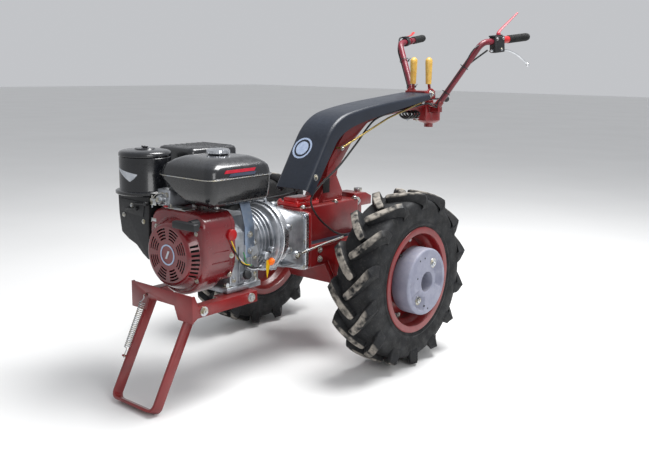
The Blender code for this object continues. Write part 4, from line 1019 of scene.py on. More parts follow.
def fuelTank():
    sizes = tankSizes
    rows = [  # height, x range, y range, corner radius
        (sizes["bottom"], (0.022, 0.112), (-0.630, -0.420), 0.020),
        (sizes["bottom"] + 0.004, (0.012, 0.122), (-0.642, -0.410), 0.024),
        (sizes["bottom"] + 0.016, (-0.010, 0.130), (-0.650, -0.402), 0.027),
        (0.325, (-0.055, 0.1335), (-0.653, -0.399), 0.030),
        (0.351, (-0.096, 0.1348), (-0.6545, -0.3965), 0.032),
        (0.3595, (-0.100, 0.135), (-0.655, -0.396), 0.032),
        (sizes["seam"] - 0.0016, (-0.1045, 0.1395), (-0.6595, -0.3915), 0.036),
        (sizes["seam"] + 0.0016, (-0.1045, 0.1395), (-0.6595, -0.3915), 0.036),
        (0.3670, (-0.099, 0.134), (-0.654, -0.397), 0.032),
        (0.3800, (-0.0975, 0.1325), (-0.6525, -0.3985), 0.033),
        (0.3900, (-0.0955, 0.1305), (-0.6495, -0.4010), 0.034),
        (0.3980, (-0.0900, 0.1250), (-0.6420, -0.4065), 0.036),
        (0.4070, (-0.0790, 0.1130), (-0.6280, -0.4170), 0.038),
        (0.4130, (-0.0680, 0.1020), (-0.6120, -0.4290), 0.038),
        (0.4165, (-0.0600, 0.0940), (-0.5980, -0.4390), 0.036),
        (sizes["top"], (-0.0500, 0.0840), (-0.5850, -0.4500), 0.034)]
    rings = [tankOutline(xRange, yRange, corner, height) for height, xRange, yRange, corner in rows]
    made("fuel_tank_shell", polished(loft(rings)), blackEnamel, "chassis", ["fuel_tank"],
         smoothDegrees=42)
    # bright metal bead round the seam: a painted highlight along the seam's edge
    edge = tankOutline((-0.1046, 0.1396), (-0.6596, -0.3914), 0.036, sizes["seam"])
    made("tank_seam_highlight", sweep(edge + edge[:1], 0.0014, 8), zincPlateAndHighlight, "chassis")
    # two plain slanted stripes on the left flank
    for name, low, high, first, last, finish in (("red", 0.3790, 0.3880, -0.610, -0.490, redFilm),
                                                 ("slate", 0.3690, 0.3775, -0.585, -0.480, slateFilm)):
        stripe = loft([[Vector((0.1349 - max(0, z - 0.367) * 0.13 + lift, y + (z - 0.37) * 0.9, z)) for y,
                        z in
                        ((first, low), (last, low), (last, high), (first, high))] for lift in (-0.001,
                                                                                               0.0006)])
        made("tank_stripe_" + name, polished(stripe), finish, "chassis")
    seat = sizes["top"] + 0.0003
    centre = (sizes["capX"], sizes["capY"], 0)
    cap = turned([(0, seat), (0.030, seat), (0.0335, seat + 0.003), (0.0345, seat + 0.004),
                  (0.0345, seat + 0.0135),
                  (0.0325, seat + 0.0165), (0.026, seat + 0.0178), (0.022, seat + 0.0162),
                  (0, seat + 0.0158)],
                 centre, "z", 72)
    made("fuel_cap_shell", cap, chromePlate, "chassis", ["fuel_cap"])
    knurl = sweep([(0.0345, 0, 0.0042), (0.0345, 0, 0.0132)], 0.0017, 8)
    repeated("fuel_cap_knurls", knurl, 36, (sizes["capX"], sizes["capY"], seat), (0, 0, 0),
             (0, 0, 2 * pi / 36),
             chromePlate, "chassis")
    softened("tank_bracket", blueZinc, "chassis", 0.0008)
    bolted("tank_bracket_bolts", [((0.1023, -0.470, 0.130), (1, 0, 0)), ((0.1023, -0.470, 0.180), (1, 0, 0))],
           0.013, 0.007, "chassis")


def airCleaner():
    x, y = -0.200, -0.620
    bottom, top, radius = 0.293, 0.408, 0.0790
    can = turned([(0, bottom), (radius + 0.010, bottom), (radius + 0.0125, bottom + 0.0025),
                  (radius + 0.0125, bottom + 0.0085), (radius + 0.0105, bottom + 0.0105),
                  (radius + 0.002, bottom + 0.0125),
                  (radius, bottom + 0.016), (radius, top - 0.004), (radius - 0.003, top), (0, top)],
                 (x, y, 0), "z", 112)
    made("air_cleaner_can", can, blackEnamel, "chassis", ["air_cleaner"])
    seat = top + 0.0003
    lid = turned([(0, seat), (radius + 0.0005, seat), (radius + 0.001, seat + 0.002),
                  (radius + 0.0005, seat + 0.009),
                  (radius - 0.003, seat + 0.0135), (radius - 0.010, seat + 0.0165), (0.040, seat + 0.0185),
                  (0.032, seat + 0.0195), (0.030, seat + 0.0225), (0.016, seat + 0.0230), (0, seat + 0.0230)],
                 (x, y, 0), "z", 112)
    made("air_cleaner_cover", lid, blackEnamel, "chassis", ["air_cleaner_lid"])
    stud = turned([(0, seat + 0.022), (0.0065, seat + 0.022), (0.0065, seat + 0.027), (0.003, seat + 0.0275),
                   (0.0026, seat + 0.0290), (0, seat + 0.0290)], (x, y, 0), "z", 24)
    wing = [(0.004, 0.0), (0.013, 0.001), (0.017, 0.0042), (0.0135, 0.0060), (0.008, 0.0052), (0.004, 0.0045)]
    wings = []
    for sign in (1, -1):
        half = prism([(a * sign, b) for a, b in wing], "y", -0.0013, 0.0013)
        wings.append(moved(half, Matrix.Translation((x, y, seat + 0.0228))))
    made("air_cleaner_wing_nut", joined(stud, *wings), blackPlastic, "chassis", bevel=0.0005)
    # a silver fin-shaped patch on the front of the can: a painted highlight, drawn as a film
    rows = []
    steps = 26
    for k in range(steps + 1):
        share = k / steps
        angle = radians(-118 + 62 * share)
        upper = 0.374 - 0.016 * share
        lower = upper - 0.036 * (share ** 0.9) * min(1, (1 - share) / 0.30 + 0.02) - 0.0012
        rows.append([Vector((x + size * cos(angle), y + size * sin(angle), z)) for size, z in
                     ((radius - 0.0005, lower), (radius + 0.0006, lower), (radius + 0.0006, upper),
                      (radius - 0.0005, upper))])
    made("cleaner_painted_highlight", polished(loft(rows)), silverFilmAndHighlight, "chassis")


def intakeCover():
    top = 0.2927
    outline = [(-0.275, top), (-0.272, 0.225), (-0.262, 0.168), (-0.228, 0.149), (-0.190, 0.136),
               (-0.160, 0.112),
               (-0.136, 0.098), (-0.127, 0.098), (-0.127, top)]
    made("intake_duct", prism(outline, "y", -0.671, -0.5255), blackPlastic, "chassis",
         ["intake_cover"], 0.008, 4)
    panel = prism([(-0.262, 0.275), (-0.262, 0.236), (-0.150, 0.228), (-0.140, 0.275)], "y", -0.6735, -0.6705)
    made("control_panel", panel, blackPlastic, "chassis", bevel=0.001)
    levers = []
    for z, x0, x1 in ((0.266, -0.185, -0.128), (0.246, -0.228, -0.176)):
        levers.append(sweep([(x0, -0.677, z), (x1, -0.679, z + 0.006)], 0.0035, 12))
        levers.append(sweep([(x1, -0.683, z + 0.006), (x1, -0.671, z + 0.006)], 0.0065, 20))
    made("choke_and_fuel_levers", joined(*levers), blackPlastic, "chassis", bevel=0.001)
    bolted("intake_cover_screws",
           [((-0.246, -0.6712, 0.224), (0, -1, 0)), ((-0.150, -0.6712, 0.214), (0, -1, 0)),
                                   ((-0.202, -0.6735, 0.258), (0, -1, 0))], 0.009, 0.004, "chassis")


def carburettor():
    softened("carburettor", castAluminium, "chassis", 0.003)
    rods = [sweep(smoothPath([(-0.120, -0.662, 0.276), (-0.096, -0.668, 0.300), (-0.070, -0.664, 0.310),
                              (-0.060, -0.640, 0.296)], 0.003), 0.0016, 10),
            sweep([(-0.118, -0.664, 0.292), (-0.050, -0.660, 0.280)], 0.0014, 10),
            sweep([(-0.110, -0.668, 0.262), (-0.110, -0.668, 0.300)], 0.0022, 10),
            sweep([(-0.040, -0.655, 0.266), (-0.040, -0.655, 0.279)], 0.0030, 10),
            sweep([(-0.044, -0.657, 0.2675), (0.012, -0.657, 0.2700)], 0.0022, 10)]
    made("governor_rods", joined(*rods), zincPlateAndHighlight, "chassis")
    plates = [block((-0.118, -0.670, 0.270), (-0.090, -0.668, 0.290)),
              block((-0.060, -0.662, 0.2665), (0.030, -0.622, 0.2690))]
    made("throttle_plate", joined(*plates), zincPlateAndHighlight, "chassis", bevel=0.0005)
    tip = block((-0.054, -0.672, 0.2700), (-0.040, -0.664, 0.2760))
    made("throttle_tip", tip, redSwitch, "chassis", bevel=0.002)
    values = {"Turns": 14.0, "Radius": 0.0028, "Length": 0.034, "Wire": 0.0006,
              "Start": at(-0.102, -0.670, 0.284),
              "Lean": Vector((0, rightAngle, 0)), "Finish": zincPlateAndHighlight}
    grown("governor_spring", springs, bmesh.new(), values, "chassis")
    bolted("carburettor_bolts",
           [((-0.064, -0.6505, 0.302), (0, -1, 0)), ((-0.098, -0.6505, 0.276), (0, -1, 0)),
                                 ((-0.070, -0.640, 0.3182), (0, 0, 1)),
            ((-0.082, -0.6682, 0.288), (0, -1, 0))],
           0.010, 0.005, "chassis")


def muffler():
    low, top = 0.312, 0.426
    box = [(-0.2895, -0.1185), (-0.5045, -0.3005)]
    rings = []
    for height, inset in ((low, 0.010), (low + 0.003, 0.004), (low + 0.010, 0.0005), (0.366, 0.0005),
                          (0.368, -0.002),
                          (0.372, -0.002), (0.374, 0.0005), (top - 0.012, 0.0005), (top - 0.004, 0.004),
                          (top - 0.001, 0.010)):
        (x0, x1), (y0, y1) = box
        inset = max(inset, 0)
        rings.append([Vector((x, y, height)) for x, y in
                      roundedOutline((x0 + inset, x1 - inset), (y0 + inset, y1 - inset), 0.020, 8)])
    made("muffler_box", polished(loft(rings)), blackEnamel, "chassis", smoothDegrees=40)
    rib = prism(roundedOutline((-0.070, 0.070), (-0.0040, 0.0040), 0.0038, 5), "z", -0.0010, 0.0010)
    repeated("muffler_top_ribs", rib, 8, (-0.204, -0.485, top - 0.001), (0, 0.0235, 0), (0, 0, 0),
             blackEnamel,
             "chassis")
    # dark slots on the rear and side: painted shade in the louvre openings
    slot = prism(roundedOutline((-0.0022, 0.0022), (-0.026, 0.026), 0.0021, 4), "x", -0.0004, 0.0004)
    moved(slot, Matrix.Identity(4))
    repeated("muffler_rear_louvre_shade", slot.copy(), 9, (-0.1186, -0.470, 0.345), (0, 0.0185, 0), (0, 0, 0),
             paintedShadeInside,
             "chassis")
    repeated("muffler_side_louvre_shade", slot, 9, (-0.2894, -0.470, 0.345), (0, 0.0185, 0), (0, 0, 0), paintedShadeInside,
             "chassis")
    port = alongCylinder(0.235, 0.010, 0)
    path = filleted([(port.x, -0.4315, port.z), (port.x, -0.400, port.z), (port.x, -0.400, low + 0.01)],
                    0.016)
    made("exhaust_pipe", sweep(path, 0.013, 28), zincPlateAndHighlight, "chassis", ["muffler"])
    # dark ring at the pipe's end: painted shade inside the outlet
    tail = turned([(0.0085, -0.3010), (0.0120, -0.3010), (0.0120, -0.3000), (0.0085, -0.3000)],
                  (-0.235, 0, 0.392), "y", 32)
    made("exhaust_outlet_shade", tail, paintedShadeInside, "chassis")


fuelTank()
airCleaner()
intakeCover()
carburettor()
muffler()
print("tank, intake and exhaust ready")

driveSizes = {"crank": 0.140, "bellRadius": 0.1155, "bellFront": -0.330, "bellRear": -0.1998,
              "caseTop": 0.220,
              "ledge": 0.101, "caseHalf": 0.100, "caseFront": -0.1995, "caseRear": 0.120}


def softSquare(halfWidth, low, high, y, power, count=96):
    # a ring that goes from round, power 2, to square with round corners
    middle, half = (low + high) / 2, (high - low) / 2
    points = []
    for k in range(count):
        a, b = cos(2 * pi * k / count), sin(2 * pi * k / count)
        u = abs(a) ** (2 / power) * (1 if a >= 0 else -1)
        v = abs(b) ** (2 / power) * (1 if b >= 0 else -1)
        points.append(Vector((halfWidth * u, y, middle + half * v)))
    return points


def clutchBell():
    sizes = driveSizes
    crank, radius, front, rear = sizes["crank"], sizes["bellRadius"], sizes["bellFront"], sizes["bellRear"]
    ring = turned([(0, front), (radius - 0.002, front), (radius, front + 0.002), (radius, front + 0.023),
                   (radius - 0.003, front + 0.026), (0, front + 0.026)], (0, 0, crank), "y", 112)
    made("bell_ring", ring, turnedAluminium, "chassis", bevel=0.0006)
    rings = []
    steps = 14
    for k in range(steps + 1):
        share = k / steps
        half = (radius - 0.008) + (0.099 - radius + 0.008) * share
        low = (crank - radius + 0.008) + (0.026 - crank + radius - 0.008) * share
        high = (crank + radius - 0.008) + (0.206 - crank - radius + 0.008) * share
        rings.append(softSquare(half, low, high, front + 0.025 + (rear - 0.014 - front - 0.025) * share,
                                2 + 7 * share ** 1.6))
    made("bell_cone", polished(loft(rings)), castAluminium, "chassis", ["clutch_housing"])
    flange = loft([softSquare(0.106 - inset, 0.018 + inset, 0.213 - inset, y, 14) for y, inset in
                   ((rear - 0.015, 0.002), (rear - 0.0135, 0), (rear - 0.001, 0), (rear, 0.001))])
    made("bell_flange", polished(flange), turnedAluminium, "chassis")
    ribs = []
    for x, z in ((0.090, 0.195), (-0.090, 0.195), (0.094, 0.050), (-0.094, 0.050)):
        ribs.append(block((min(x, x * 0.4), front + 0.020, z - 0.003),
                          (max(x, x * 0.4), rear - 0.012, z + 0.003)))
    ribs.append(block((-0.003, front + 0.020, 0.200), (0.003, rear - 0.012, 0.226)))
    lugs = []
    for degrees in (20, 70, 110, 160, 200, 250, 290, 340):
        angle = radians(degrees)
        centre = Vector((0.1095 * cos(angle), 0, crank + 0.1095 * sin(angle)))
        start = centre + Vector((0, front + 0.020, 0))
        lugs.append(sweep([start, start + Vector((0, 0.016, 0))], 0.0105, 20))
    made("bell_ribs", joined(*ribs), castAluminium, "chassis", bevel=0.0014)
    made("bell_bosses", joined(*lugs), castAluminium, "chassis", bevel=0.0015)
    places = []
    for degrees in (20, 70, 110, 160, 200, 250, 290, 340):
        angle = radians(degrees)
        places.append(((0.1095 * cos(angle), front + 0.036, crank + 0.1095 * sin(angle)), (0, 1, 0)))
    bolted("bell_ring_nuts", places, 0.014, 0.009, "chassis")
    places = [((x, rear - 0.015, z), (0, -1, 0)) for x in (-0.094, 0.094) for z in (0.034, 0.115, 0.198)]
    bolted("bell_flange_bolts", places, 0.013, 0.007, "chassis")
    path = smoothPath([(0.020, front + 0.014, 0.252), (0.020, front + 0.010, 0.262),
                       (0.004, front - 0.004, 0.268),
                       (-0.014, front - 0.010, 0.262)], 0.004)
    hook = sweep(path, 0.0055, 16, 0.004)
    made("lifting_eye", hook, castAluminium, "chassis")
    boss = sweep([(0.070, -0.262, 0.085), (0.112, -0.262, 0.080)], 0.016, 24, 0.013)
    made("fork_shaft_boss", boss, castAluminium, "chassis", bevel=0.002)
    bolted("fork_shaft_nut", [((0.112, -0.262, 0.080), (1, 0, 0))], 0.014, 0.008, "chassis")
    # clutch fork arm where the cable ends
    path = smoothPath([(0.106, -0.020, 0.104), (0.108, -0.120, 0.096), (0.110, -0.240, 0.084)], 0.01)
    arm = sweep(path, 0.0040, 12)
    made("clutch_fork_arm", arm, zincPlateAndHighlight, "chassis")


def adapterRing():
    front, rear, crank = -0.4297, driveSizes["bellFront"] - 0.0003, driveSizes["crank"]
    outline = [(0, front), (0.0935, front), (0.0940, front + 0.011), (0.0865, front + 0.014)]
    y = front + 0.020
    for k in range(4):
        outline += [(0.0850 + 0.001 * k, y), (0.0915 + 0.0028 * k, y + 0.0018),
                    (0.0915 + 0.0028 * k, y + 0.0064),
                    (0.0855 + 0.001 * k, y + 0.0082)]
        y += 0.0132
    outline += [(0.0900, rear - 0.018), (0.1060, rear - 0.013), (0.1080, rear - 0.011), (0.1080, rear),
                (0, rear)]
    made("adapter_casting", turned(outline, (0, 0, crank), "y", 96), castAluminium, "chassis",
         ["engine_adapter"])
    outward = Vector((0.9, 0, -0.45)).normalized()
    middle = Vector((0.088, -0.375, crank - 0.055))
    seat = sweep([middle - outward * 0.03, middle + outward * 0.008], 0.0155, 24, 0.0135)
    made("filler_boss", seat, castAluminium, "chassis", bevel=0.0015)
    places = []
    for degrees in (35, 80, 145, 215, 265, 325):
        angle = radians(degrees)
        places.append(((0.0905 * cos(angle), front + 0.0118, crank + 0.0905 * sin(angle)), (0, 1, 0)))
    bolted("adapter_bolts", places, 0.012, 0.008, "chassis")
    casting = joined(sweep([(0.080, -0.395, 0.104), (0.108, -0.398, 0.100)], 0.013, 7),
                     sweep([(0.086, -0.372, 0.118), (0.110, -0.372, 0.116)], 0.010, 7))
    made("adapter_knuckles", casting, castAluminium, "chassis", bevel=0.003)


def gearbox():
    sizes = driveSizes
    half, ledge, front, rear, top = (sizes[key] for key in ("caseHalf", "ledge", "caseFront", "caseRear",
                                                            "caseTop"))
    lower = [(front, 0.020), (-0.108, 0.020), (-0.062, -0.058), (0.055, -0.066), (0.100, -0.030),
             (rear, 0.040),
             (rear, ledge), (front, ledge)]
    made("gearbox_lower", prism(lower, "x", -half, half), redEnamel, "chassis", ["gearbox_case"],
         0.005, 3)
    made("gearbox_upper", block((-0.066, front + 0.002, ledge - 0.01), (0.066, rear - 0.001, top)), redEnamel,
         "chassis", bevel=0.006, rounds=3)
    flange = loft([softSquare(0.106, 0.018, 0.213, y, 14) for y in (front, front + 0.013)])
    made("gearbox_flange", polished(flange), redEnamel, "chassis", bevel=0.001)
    # dark top faces of the two ledges
    # the navy plates on the ledge tops are painted shadow, where the ledges lie in shade
    plates = []
    for low, high in ((0.068, 0.0985), (-0.0985, -0.068)):
        plates.append(block((low, front + 0.014, ledge), (high, rear - 0.004, ledge + 0.0015)))
    made("gearbox_ledge_painted_shadow", joined(*plates), navyCoatAndShadow, "chassis", bevel=0.0005)
    side = [(-0.150, 0.036), (-0.095, 0.032), (-0.050, -0.046), (0.048, -0.054), (0.088, -0.022),
            (0.102, 0.044),
            (0.102, 0.088), (-0.150, 0.088)]
    for name, low, high in (("left", half - 0.001, half + 0.0035), ("right", -half - 0.0035, -half + 0.001)):
        made("gearbox_side_rib_" + name, prism(side, "x", low, high), redEnamel, "chassis",
             bevel=0.003)
    places = []
    for sign in (1, -1):
        for y, z in ((-0.140, 0.078), (-0.140, 0.046), (-0.040, -0.036), (0.040, -0.042), (0.090, 0.030),
                     (0.090, 0.078)):
            places.append(((sign * (half + 0.0035), y, z), (sign, 0, 0)))
    for y in (-0.176, -0.006, 0.104):
        places += [((0.058, y, top), (0, 0, 1)), ((-0.058, y, top), (0, 0, 1))]
    bolted("gearbox_bolts", places, 0.014, 0.008, "chassis")
    cover = block((-0.046, front + 0.008, top + 0.0003), (0.046, -0.078, top + 0.014))
    made("selector_plate", cover, brightRed, "chassis", ["selector_cover"], 0.003)
    ridge = block((-0.030, front + 0.020, top + 0.010), (0.030, -0.092, top + 0.028))
    made("selector_ridge", ridge, brightRed, "chassis", bevel=0.006, rounds=3)
    places = [((x, y, top + 0.014), (0, 0, 1)) for x in (-0.039, 0.039) for y in (front + 0.016, -0.137,
                                                                                  -0.086)]
    bolted("selector_bolts", places, 0.011, 0.006, "chassis", brightRed)
    plug = [((0.0, 0.030, -0.0655), (0, 0, -1)), ((half + 0.0035, -0.020, 0.064), (1, 0, 0))]
    bolted("gearbox_plugs", plug, 0.020, 0.009, "chassis")
    for sign, name in ((1, "left"), (-1, "right")):
        sleeve = [(0.0195, half), (0.0195, 0.172), (0.044, 0.172), (0.048, 0.169), (0.048, 0.1300),
                  (0.052, 0.1245),
                  (0.064, 0.1200), (0.064, half)]
        made("axle_tube_" + name,
             turned([(radius, sign * along) for radius, along in sleeve], (0, 0, 0), "x", 72),
             redEnamel, "chassis", ["axle_sleeve_" + name])
        places = []
        for k in range(6):
            angle = 2 * pi * k / 6 + 0.3
            places.append(((sign * 0.1205, 0.057 * cos(angle), 0.057 * sin(angle)), (sign, 0, 0)))
        bolted("axle_tube_bolts_" + name, places, 0.013, 0.007, "chassis")


def hitch():
    softened("hitch_bracket", redEnamel, "chassis", 0.002)
    softened("hitch_pin", zincPlateAndHighlight, "chassis", 0.0008)
    clip = smoothPath([(0.0, 0.190, 0.094), (0.012, 0.200, 0.094), (0.020, 0.212, 0.094),
                       (0.010, 0.222, 0.094),
                       (-0.006, 0.214, 0.094), (-0.016, 0.204, 0.094)], 0.003)
    made("hitch_pin_clip", sweep(clip, 0.0015, 10), zincPlateAndHighlight, "chassis")
    places = [((sign * 0.045, 0.138, z), (sign, 0, 0)) for sign in (1, -1) for z in (0.085, 0.205)]
    bolted("hitch_bolts", places, 0.018, 0.010, "chassis")
    weld = sweep([(-0.045, 0.1215, 0.232), (0.045, 0.1215, 0.232)], 0.003, 10)
    made("hitch_weld", weld, redEnamel, "chassis")


clutchBell()
adapterRing()
gearbox()
hitch()
print("drive ready")

columnSizes = {"end": 0.600, "cowlHalf": 0.072, "cowlCorner": 0.014, "cowlWall": 0.003,
               "badge": 0.040}
cowlStations = [  # y and z of the cowl's outer top, and how deep its flanges are
    (-0.176, 0.280, 0.040), (-0.120, 0.368, 0.046), (-0.086, 0.421, 0.050), (-0.055, 0.465, 0.052),
    (-0.018, 0.498, 0.055), (0.035, 0.523, 0.055), (0.120, 0.540, 0.050), (0.250, 0.557, 0.044),
    (0.440, 0.575, 0.032), (0.560, 0.586, 0.024)]


def cowl():
    sizes = columnSizes
    half, corner, wall = sizes["cowlHalf"], sizes["cowlCorner"], sizes["cowlWall"]
    path = smoothPath([Vector(station) for station in cowlStations], 0.010)
    path[-1] = Vector(cowlStations[-1])
    rings = []
    for i, (y, z, depth) in enumerate(path):
        before, after = path[max(i - 1, 0)], path[min(i + 1, len(path) - 1)]
        along = Vector((0, after.x - before.x, after.y - before.y)).normalized()
        inward = Vector((0, along.z, -along.y))
        outer = [(half, depth)]
        inner = [(half - wall, depth)]
        for k in range(9):
            angle = rightAngle * k / 8
            outer.append((half - corner + corner * cos(angle), corner - corner * sin(angle)))
            small = corner - wall
            inner.append((half - corner + small * cos(angle), corner - small * sin(angle)))
        outer += [(half * 0.3, -0.0008), (0, -0.0010)]
        outer += [(-a, b) for a, b in reversed(outer[:-1])]
        inner += [(half * 0.3, wall - 0.0008), (0, wall - 0.0010)]
        inner += [(-a, b) for a, b in reversed(inner[:-1])]
        section = outer + list(reversed(inner))
        rings.append([Vector((a, y, z)) + inward * b for a, b in section])
    made("column_cowl", polished(loft(rings)), navyCoatAndShadow, "chassis", ["cowl"],
         smoothDegrees=50)

    # plain round badge on the front slope: a ring with a bare disc inside
    (y0, z0, _), (y1, z1, _) = cowlStations[1], cowlStations[2]
    up = Vector((0, y1 - y0, z1 - z0)).normalized()
    out = Vector((0, -up.z, up.y))
    centre = Vector((-0.018, -0.0945, 0.4075)) + out * 0.0010
    turn = Matrix((Vector((1, 0, 0)), up, out)).transposed().to_4x4()
    for name, inside, outside in (("ring", 0.0335, sizes["badge"]), ("disc", 0.0, 0.0255)):
        badge = turned([(inside, -0.0010), (outside, -0.0010), (outside, 0.0006), (inside, 0.0006)],
                       (0, 0, 0), "z", 72)
        moved(badge, Matrix.Translation(centre) @ turn)
        made("cowl_badge_" + name, badge, paleFilm, "chassis")
    screws = [((sign * half, -0.128, 0.318), (sign, 0, 0)) for sign in (1, -1)]
    bolted("cowl_screws", screws, 0.013, 0.005, "chassis")


def column():
    softened("steering_column", redEnamel, "chassis", 0.002)
    # dark insets on the column foot: painted shade in its windows
    inset = [block((0.0345, -0.046, 0.252), (0.0362, -0.010, 0.303)),
             block((-0.0362, -0.046, 0.252), (-0.0345, -0.010, 0.303))]
    made("column_foot_window_shade", joined(*inset), paintedShadeInside, "chassis", bevel=0.0008)
    places = [((x, y, driveSizes["caseTop"] + 0.0300), (0, 0, 1)) for x in (-0.024, 0.024) for y in (0.052,)]
    bolted("column_foot_bolts", places, 0.012, 0.007, "chassis")
    weld = sweep([(0.0355, -0.050, 0.2225), (0.0355, 0.055, 0.2225)], 0.003, 10)
    made("column_weld", weld, redEnamel, "chassis")
    softened("control_rod", yellowZinc, "chassis", 0.0003)
    places = [((0.0542, 0.034, 0.404), (1, 0, 0)), ((0.0542, 0.540, 0.552), (1, 0, 0))]
    bolted("control_rod_nuts", places, 0.010, 0.006, "chassis")
    softened("column_head", redEnamel, "chassis", 0.002)
    # arched side plates that carry the gear levers
    for sign, name in ((1, "left"), (-1, "right")):
        arch = [(0.566, 0.562), (0.636, 0.562)]
        for k in range(13):
            angle = pi * k / 12
            arch.append((0.601 + 0.035 * cos(angle), 0.573 + 0.031 * sin(angle)))
        low, high = sorted((sign * 0.0465, sign * 0.0500))
        made("lever_plate_" + name, prism(arch, "x", low, high), redEnamel, "chassis",
             bevel=0.0008)
    bolted("lever_plate_bolts", [((0.0500, 0.601, 0.582), (1, 0, 0)), ((-0.0500, 0.601, 0.582), (-1, 0, 0))],
           0.018,
           0.012, "chassis")
    # cable ends bundled beneath the column
    bundle = []
    for k in range(4):
        y = 0.500 + 0.021 * k
        loop = [Vector((0.024 * cos(a) - 0.002, y + 0.006 * sin(2 * a), 0.500 + 0.013 * sin(a))) for a in
                [2 * pi * n / 22 for n in range(23)]]
        bundle.append(sweep(loop, 0.0042, 12))
    made("cable_bundle", joined(*bundle), cableSleeve, "chassis")
    bolted("bundle_clamp_nuts", [((0.016, 0.556, 0.4865), (0, 0, -1)), ((-0.010, 0.532, 0.4865), (0, 0, -1))],
           0.012,
           0.010, "chassis")


def gearLevers():
    for name, x, y, lean, tilt in (("left", 0.030, 0.622, 0.004, -1), ("right", -0.030, 0.596, 0.002, 1)):
        foot = Vector((x, y, 0.5937))
        low = Vector((x, y - 2 * lean, 0.6200))
        made("gear_stem_" + name, sweep([foot, low + Vector((0, 0, 0.006))], 0.0058, 20), redEnamel,
             "chassis")
        collar = turned([(0.006, 0), (0.0105, 0), (0.0095, 0.004), (0.006, 0.005)], foot, "z", 28)
        made("gear_collar_" + name, collar, redEnamel, "chassis")
        rings = []
        middleY = y - 2.5 * lean
        for k in range(15):
            share = k / 14
            z = 0.620 + 0.105 * share
            size = 0.0118 + 0.0032 * share
            if share > 0.84:
                size *= max(0.02, 1 - ((share - 0.84) / 0.165) ** 2.4) ** 0.5
            ring = []
            for n in range(32):
                angle = 2 * pi * n / 32
                hump = 1
                if share > 0.45:
                    hump += 0.16 * max(0, sin(pi * (share - 0.45) / 0.6)) * max(0, -sin(angle))
                ring.append(Vector((x + size * 0.94 * cos(angle) + tilt * 0.0015 * share,
                                    middleY + size * 1.06 * hump * sin(angle), z)))
            rings.append(ring)
        made("gear_knob_" + name, polished(loft(rings)), tanKnob, "chassis",
             ["gear_lever_" + name],
             smoothDegrees=60)


cowl()
column()
gearLevers()
print("column ready")

barSizes = {"tube": 0.012, "gripLength": 0.125, "foot": (0.050, 0.649, 0.5303),
            "bend": (0.196, 0.730, 0.784), "end": (0.256, 1.002, 0.816), "fillet": 0.045}
barFoot, barBend, barEnd = (Vector(barSizes[key]) for key in ("foot", "bend", "end"))
barAlong = (barEnd - barBend).normalized()
gripStart = barEnd - barAlong * barSizes["gripLength"]


def onSide(sign, point):
    return Vector((sign * point.x, point.y, point.z))


def barMatrix(sign, distance):
    # a frame on the handle, its Y along the tube
    along = onSide(sign, barAlong)
    turn = along.to_track_quat("Y", "Z").to_matrix().to_4x4()
    return Matrix.Translation(onSide(sign, barBend + barAlong * distance)) @ turn


def handle(side, sign):
    path = [onSide(sign, point) for point in (barFoot, barBend, gripStart + barAlong * 0.004)]
    path = filleted(path, barSizes["fillet"], 12)
    made("bar_tube_" + side, sweep(path, barSizes["tube"], 28), maroonEnamel, "handlebar",
         ["handlebar_tube_" + side])
    socket = sweep([path[0] + Vector((0, 0, -0.0005)), path[0].lerp(path[1], 0.10)], 0.0160, 28, 0.0145)
    made("bar_socket_" + side, socket, redEnamel, "handlebar", bevel=0.001)
    along = onSide(sign, barAlong)
    start, end = onSide(sign, gripStart), onSide(sign, barEnd)
    core = [start, start + along * 0.003, start + along * 0.0035, start + along * 0.115,
            start + along * 0.121, end]
    sizes = [0.0162, 0.0164, 0.0140, 0.0142, 0.0146, 0.0128]
    rings = []
    cross = along.orthogonal().normalized()
    other = along.cross(cross)
    angles = [2 * pi * k / 32 for k in range(32)]
    for point, size in zip(core, sizes):
        rings.append([point + (cross * cos(angle) + other * sin(angle)) * size for angle in angles])
    made("grip_sleeve_" + side, polished(loft(rings)), softRubber, "handlebar",
         ["grip_" + side],
         bevel=0.0006)
    rib = turned([(0.0135, -0.0019), (0.0158, -0.0013), (0.0162, 0), (0.0158, 0.0013), (0.0135, 0.0019)],
                 (0, 0, 0), "y", 32)
    turn = along.to_track_quat("Y", "Z").to_matrix().to_4x4()
    moved(rib, turn)
    repeated("grip_ribs_" + side, rib, 22, start + along * 0.0085, along * 0.0049, (0, 0, 0), softRubber,
             "handlebar")


def tie(place, along, body, name, width=0.0032, size=0.0165):
    # a cable tie round a tube, with its tail
    ring = turned([(size - 0.0012, -width / 2), (size, -width / 2), (size, width / 2),
                   (size - 0.0012, width / 2)],
                  (0, 0, 0), "y", 32)
    head = block((size - 0.001, -0.003, -0.003), (size + 0.004, 0.003, 0.003))
    tail = block((size + 0.001, -0.0012, 0), (size + 0.0022, 0.0012, 0.020))
    whole = joined(ring, head, tail)
    turn = Vector(along).normalized().to_track_quat("Y", "Z").to_matrix().to_4x4()
    moved(whole, Matrix.Translation(place) @ turn)
    made(name, whole, cableSleeve, body)


def taperedBlade(path, facing, widths, thicknesses, power=1, segments=20):
    # a flat oval blade along a path, its half width and half thickness going from first to last
    rings = []
    for i, point in enumerate(path):
        share = i / (len(path) - 1)
        along = (path[min(i + 1, len(path) - 1)] - path[max(i - 1, 0)]).normalized()
        halfWidth = widths[0] + (widths[1] - widths[0]) * share ** power
        halfThickness = thicknesses[0] + (thicknesses[1] - thicknesses[0]) * share
        wide = along.cross(Vector(facing)).normalized() * halfWidth
        thin = along.cross(wide).normalized() * halfThickness
        angles = [2 * pi * n / segments for n in range(segments)]
        rings.append([point + wide * cos(angle) + thin * sin(angle) for angle in angles])
    return polished(loft(rings))


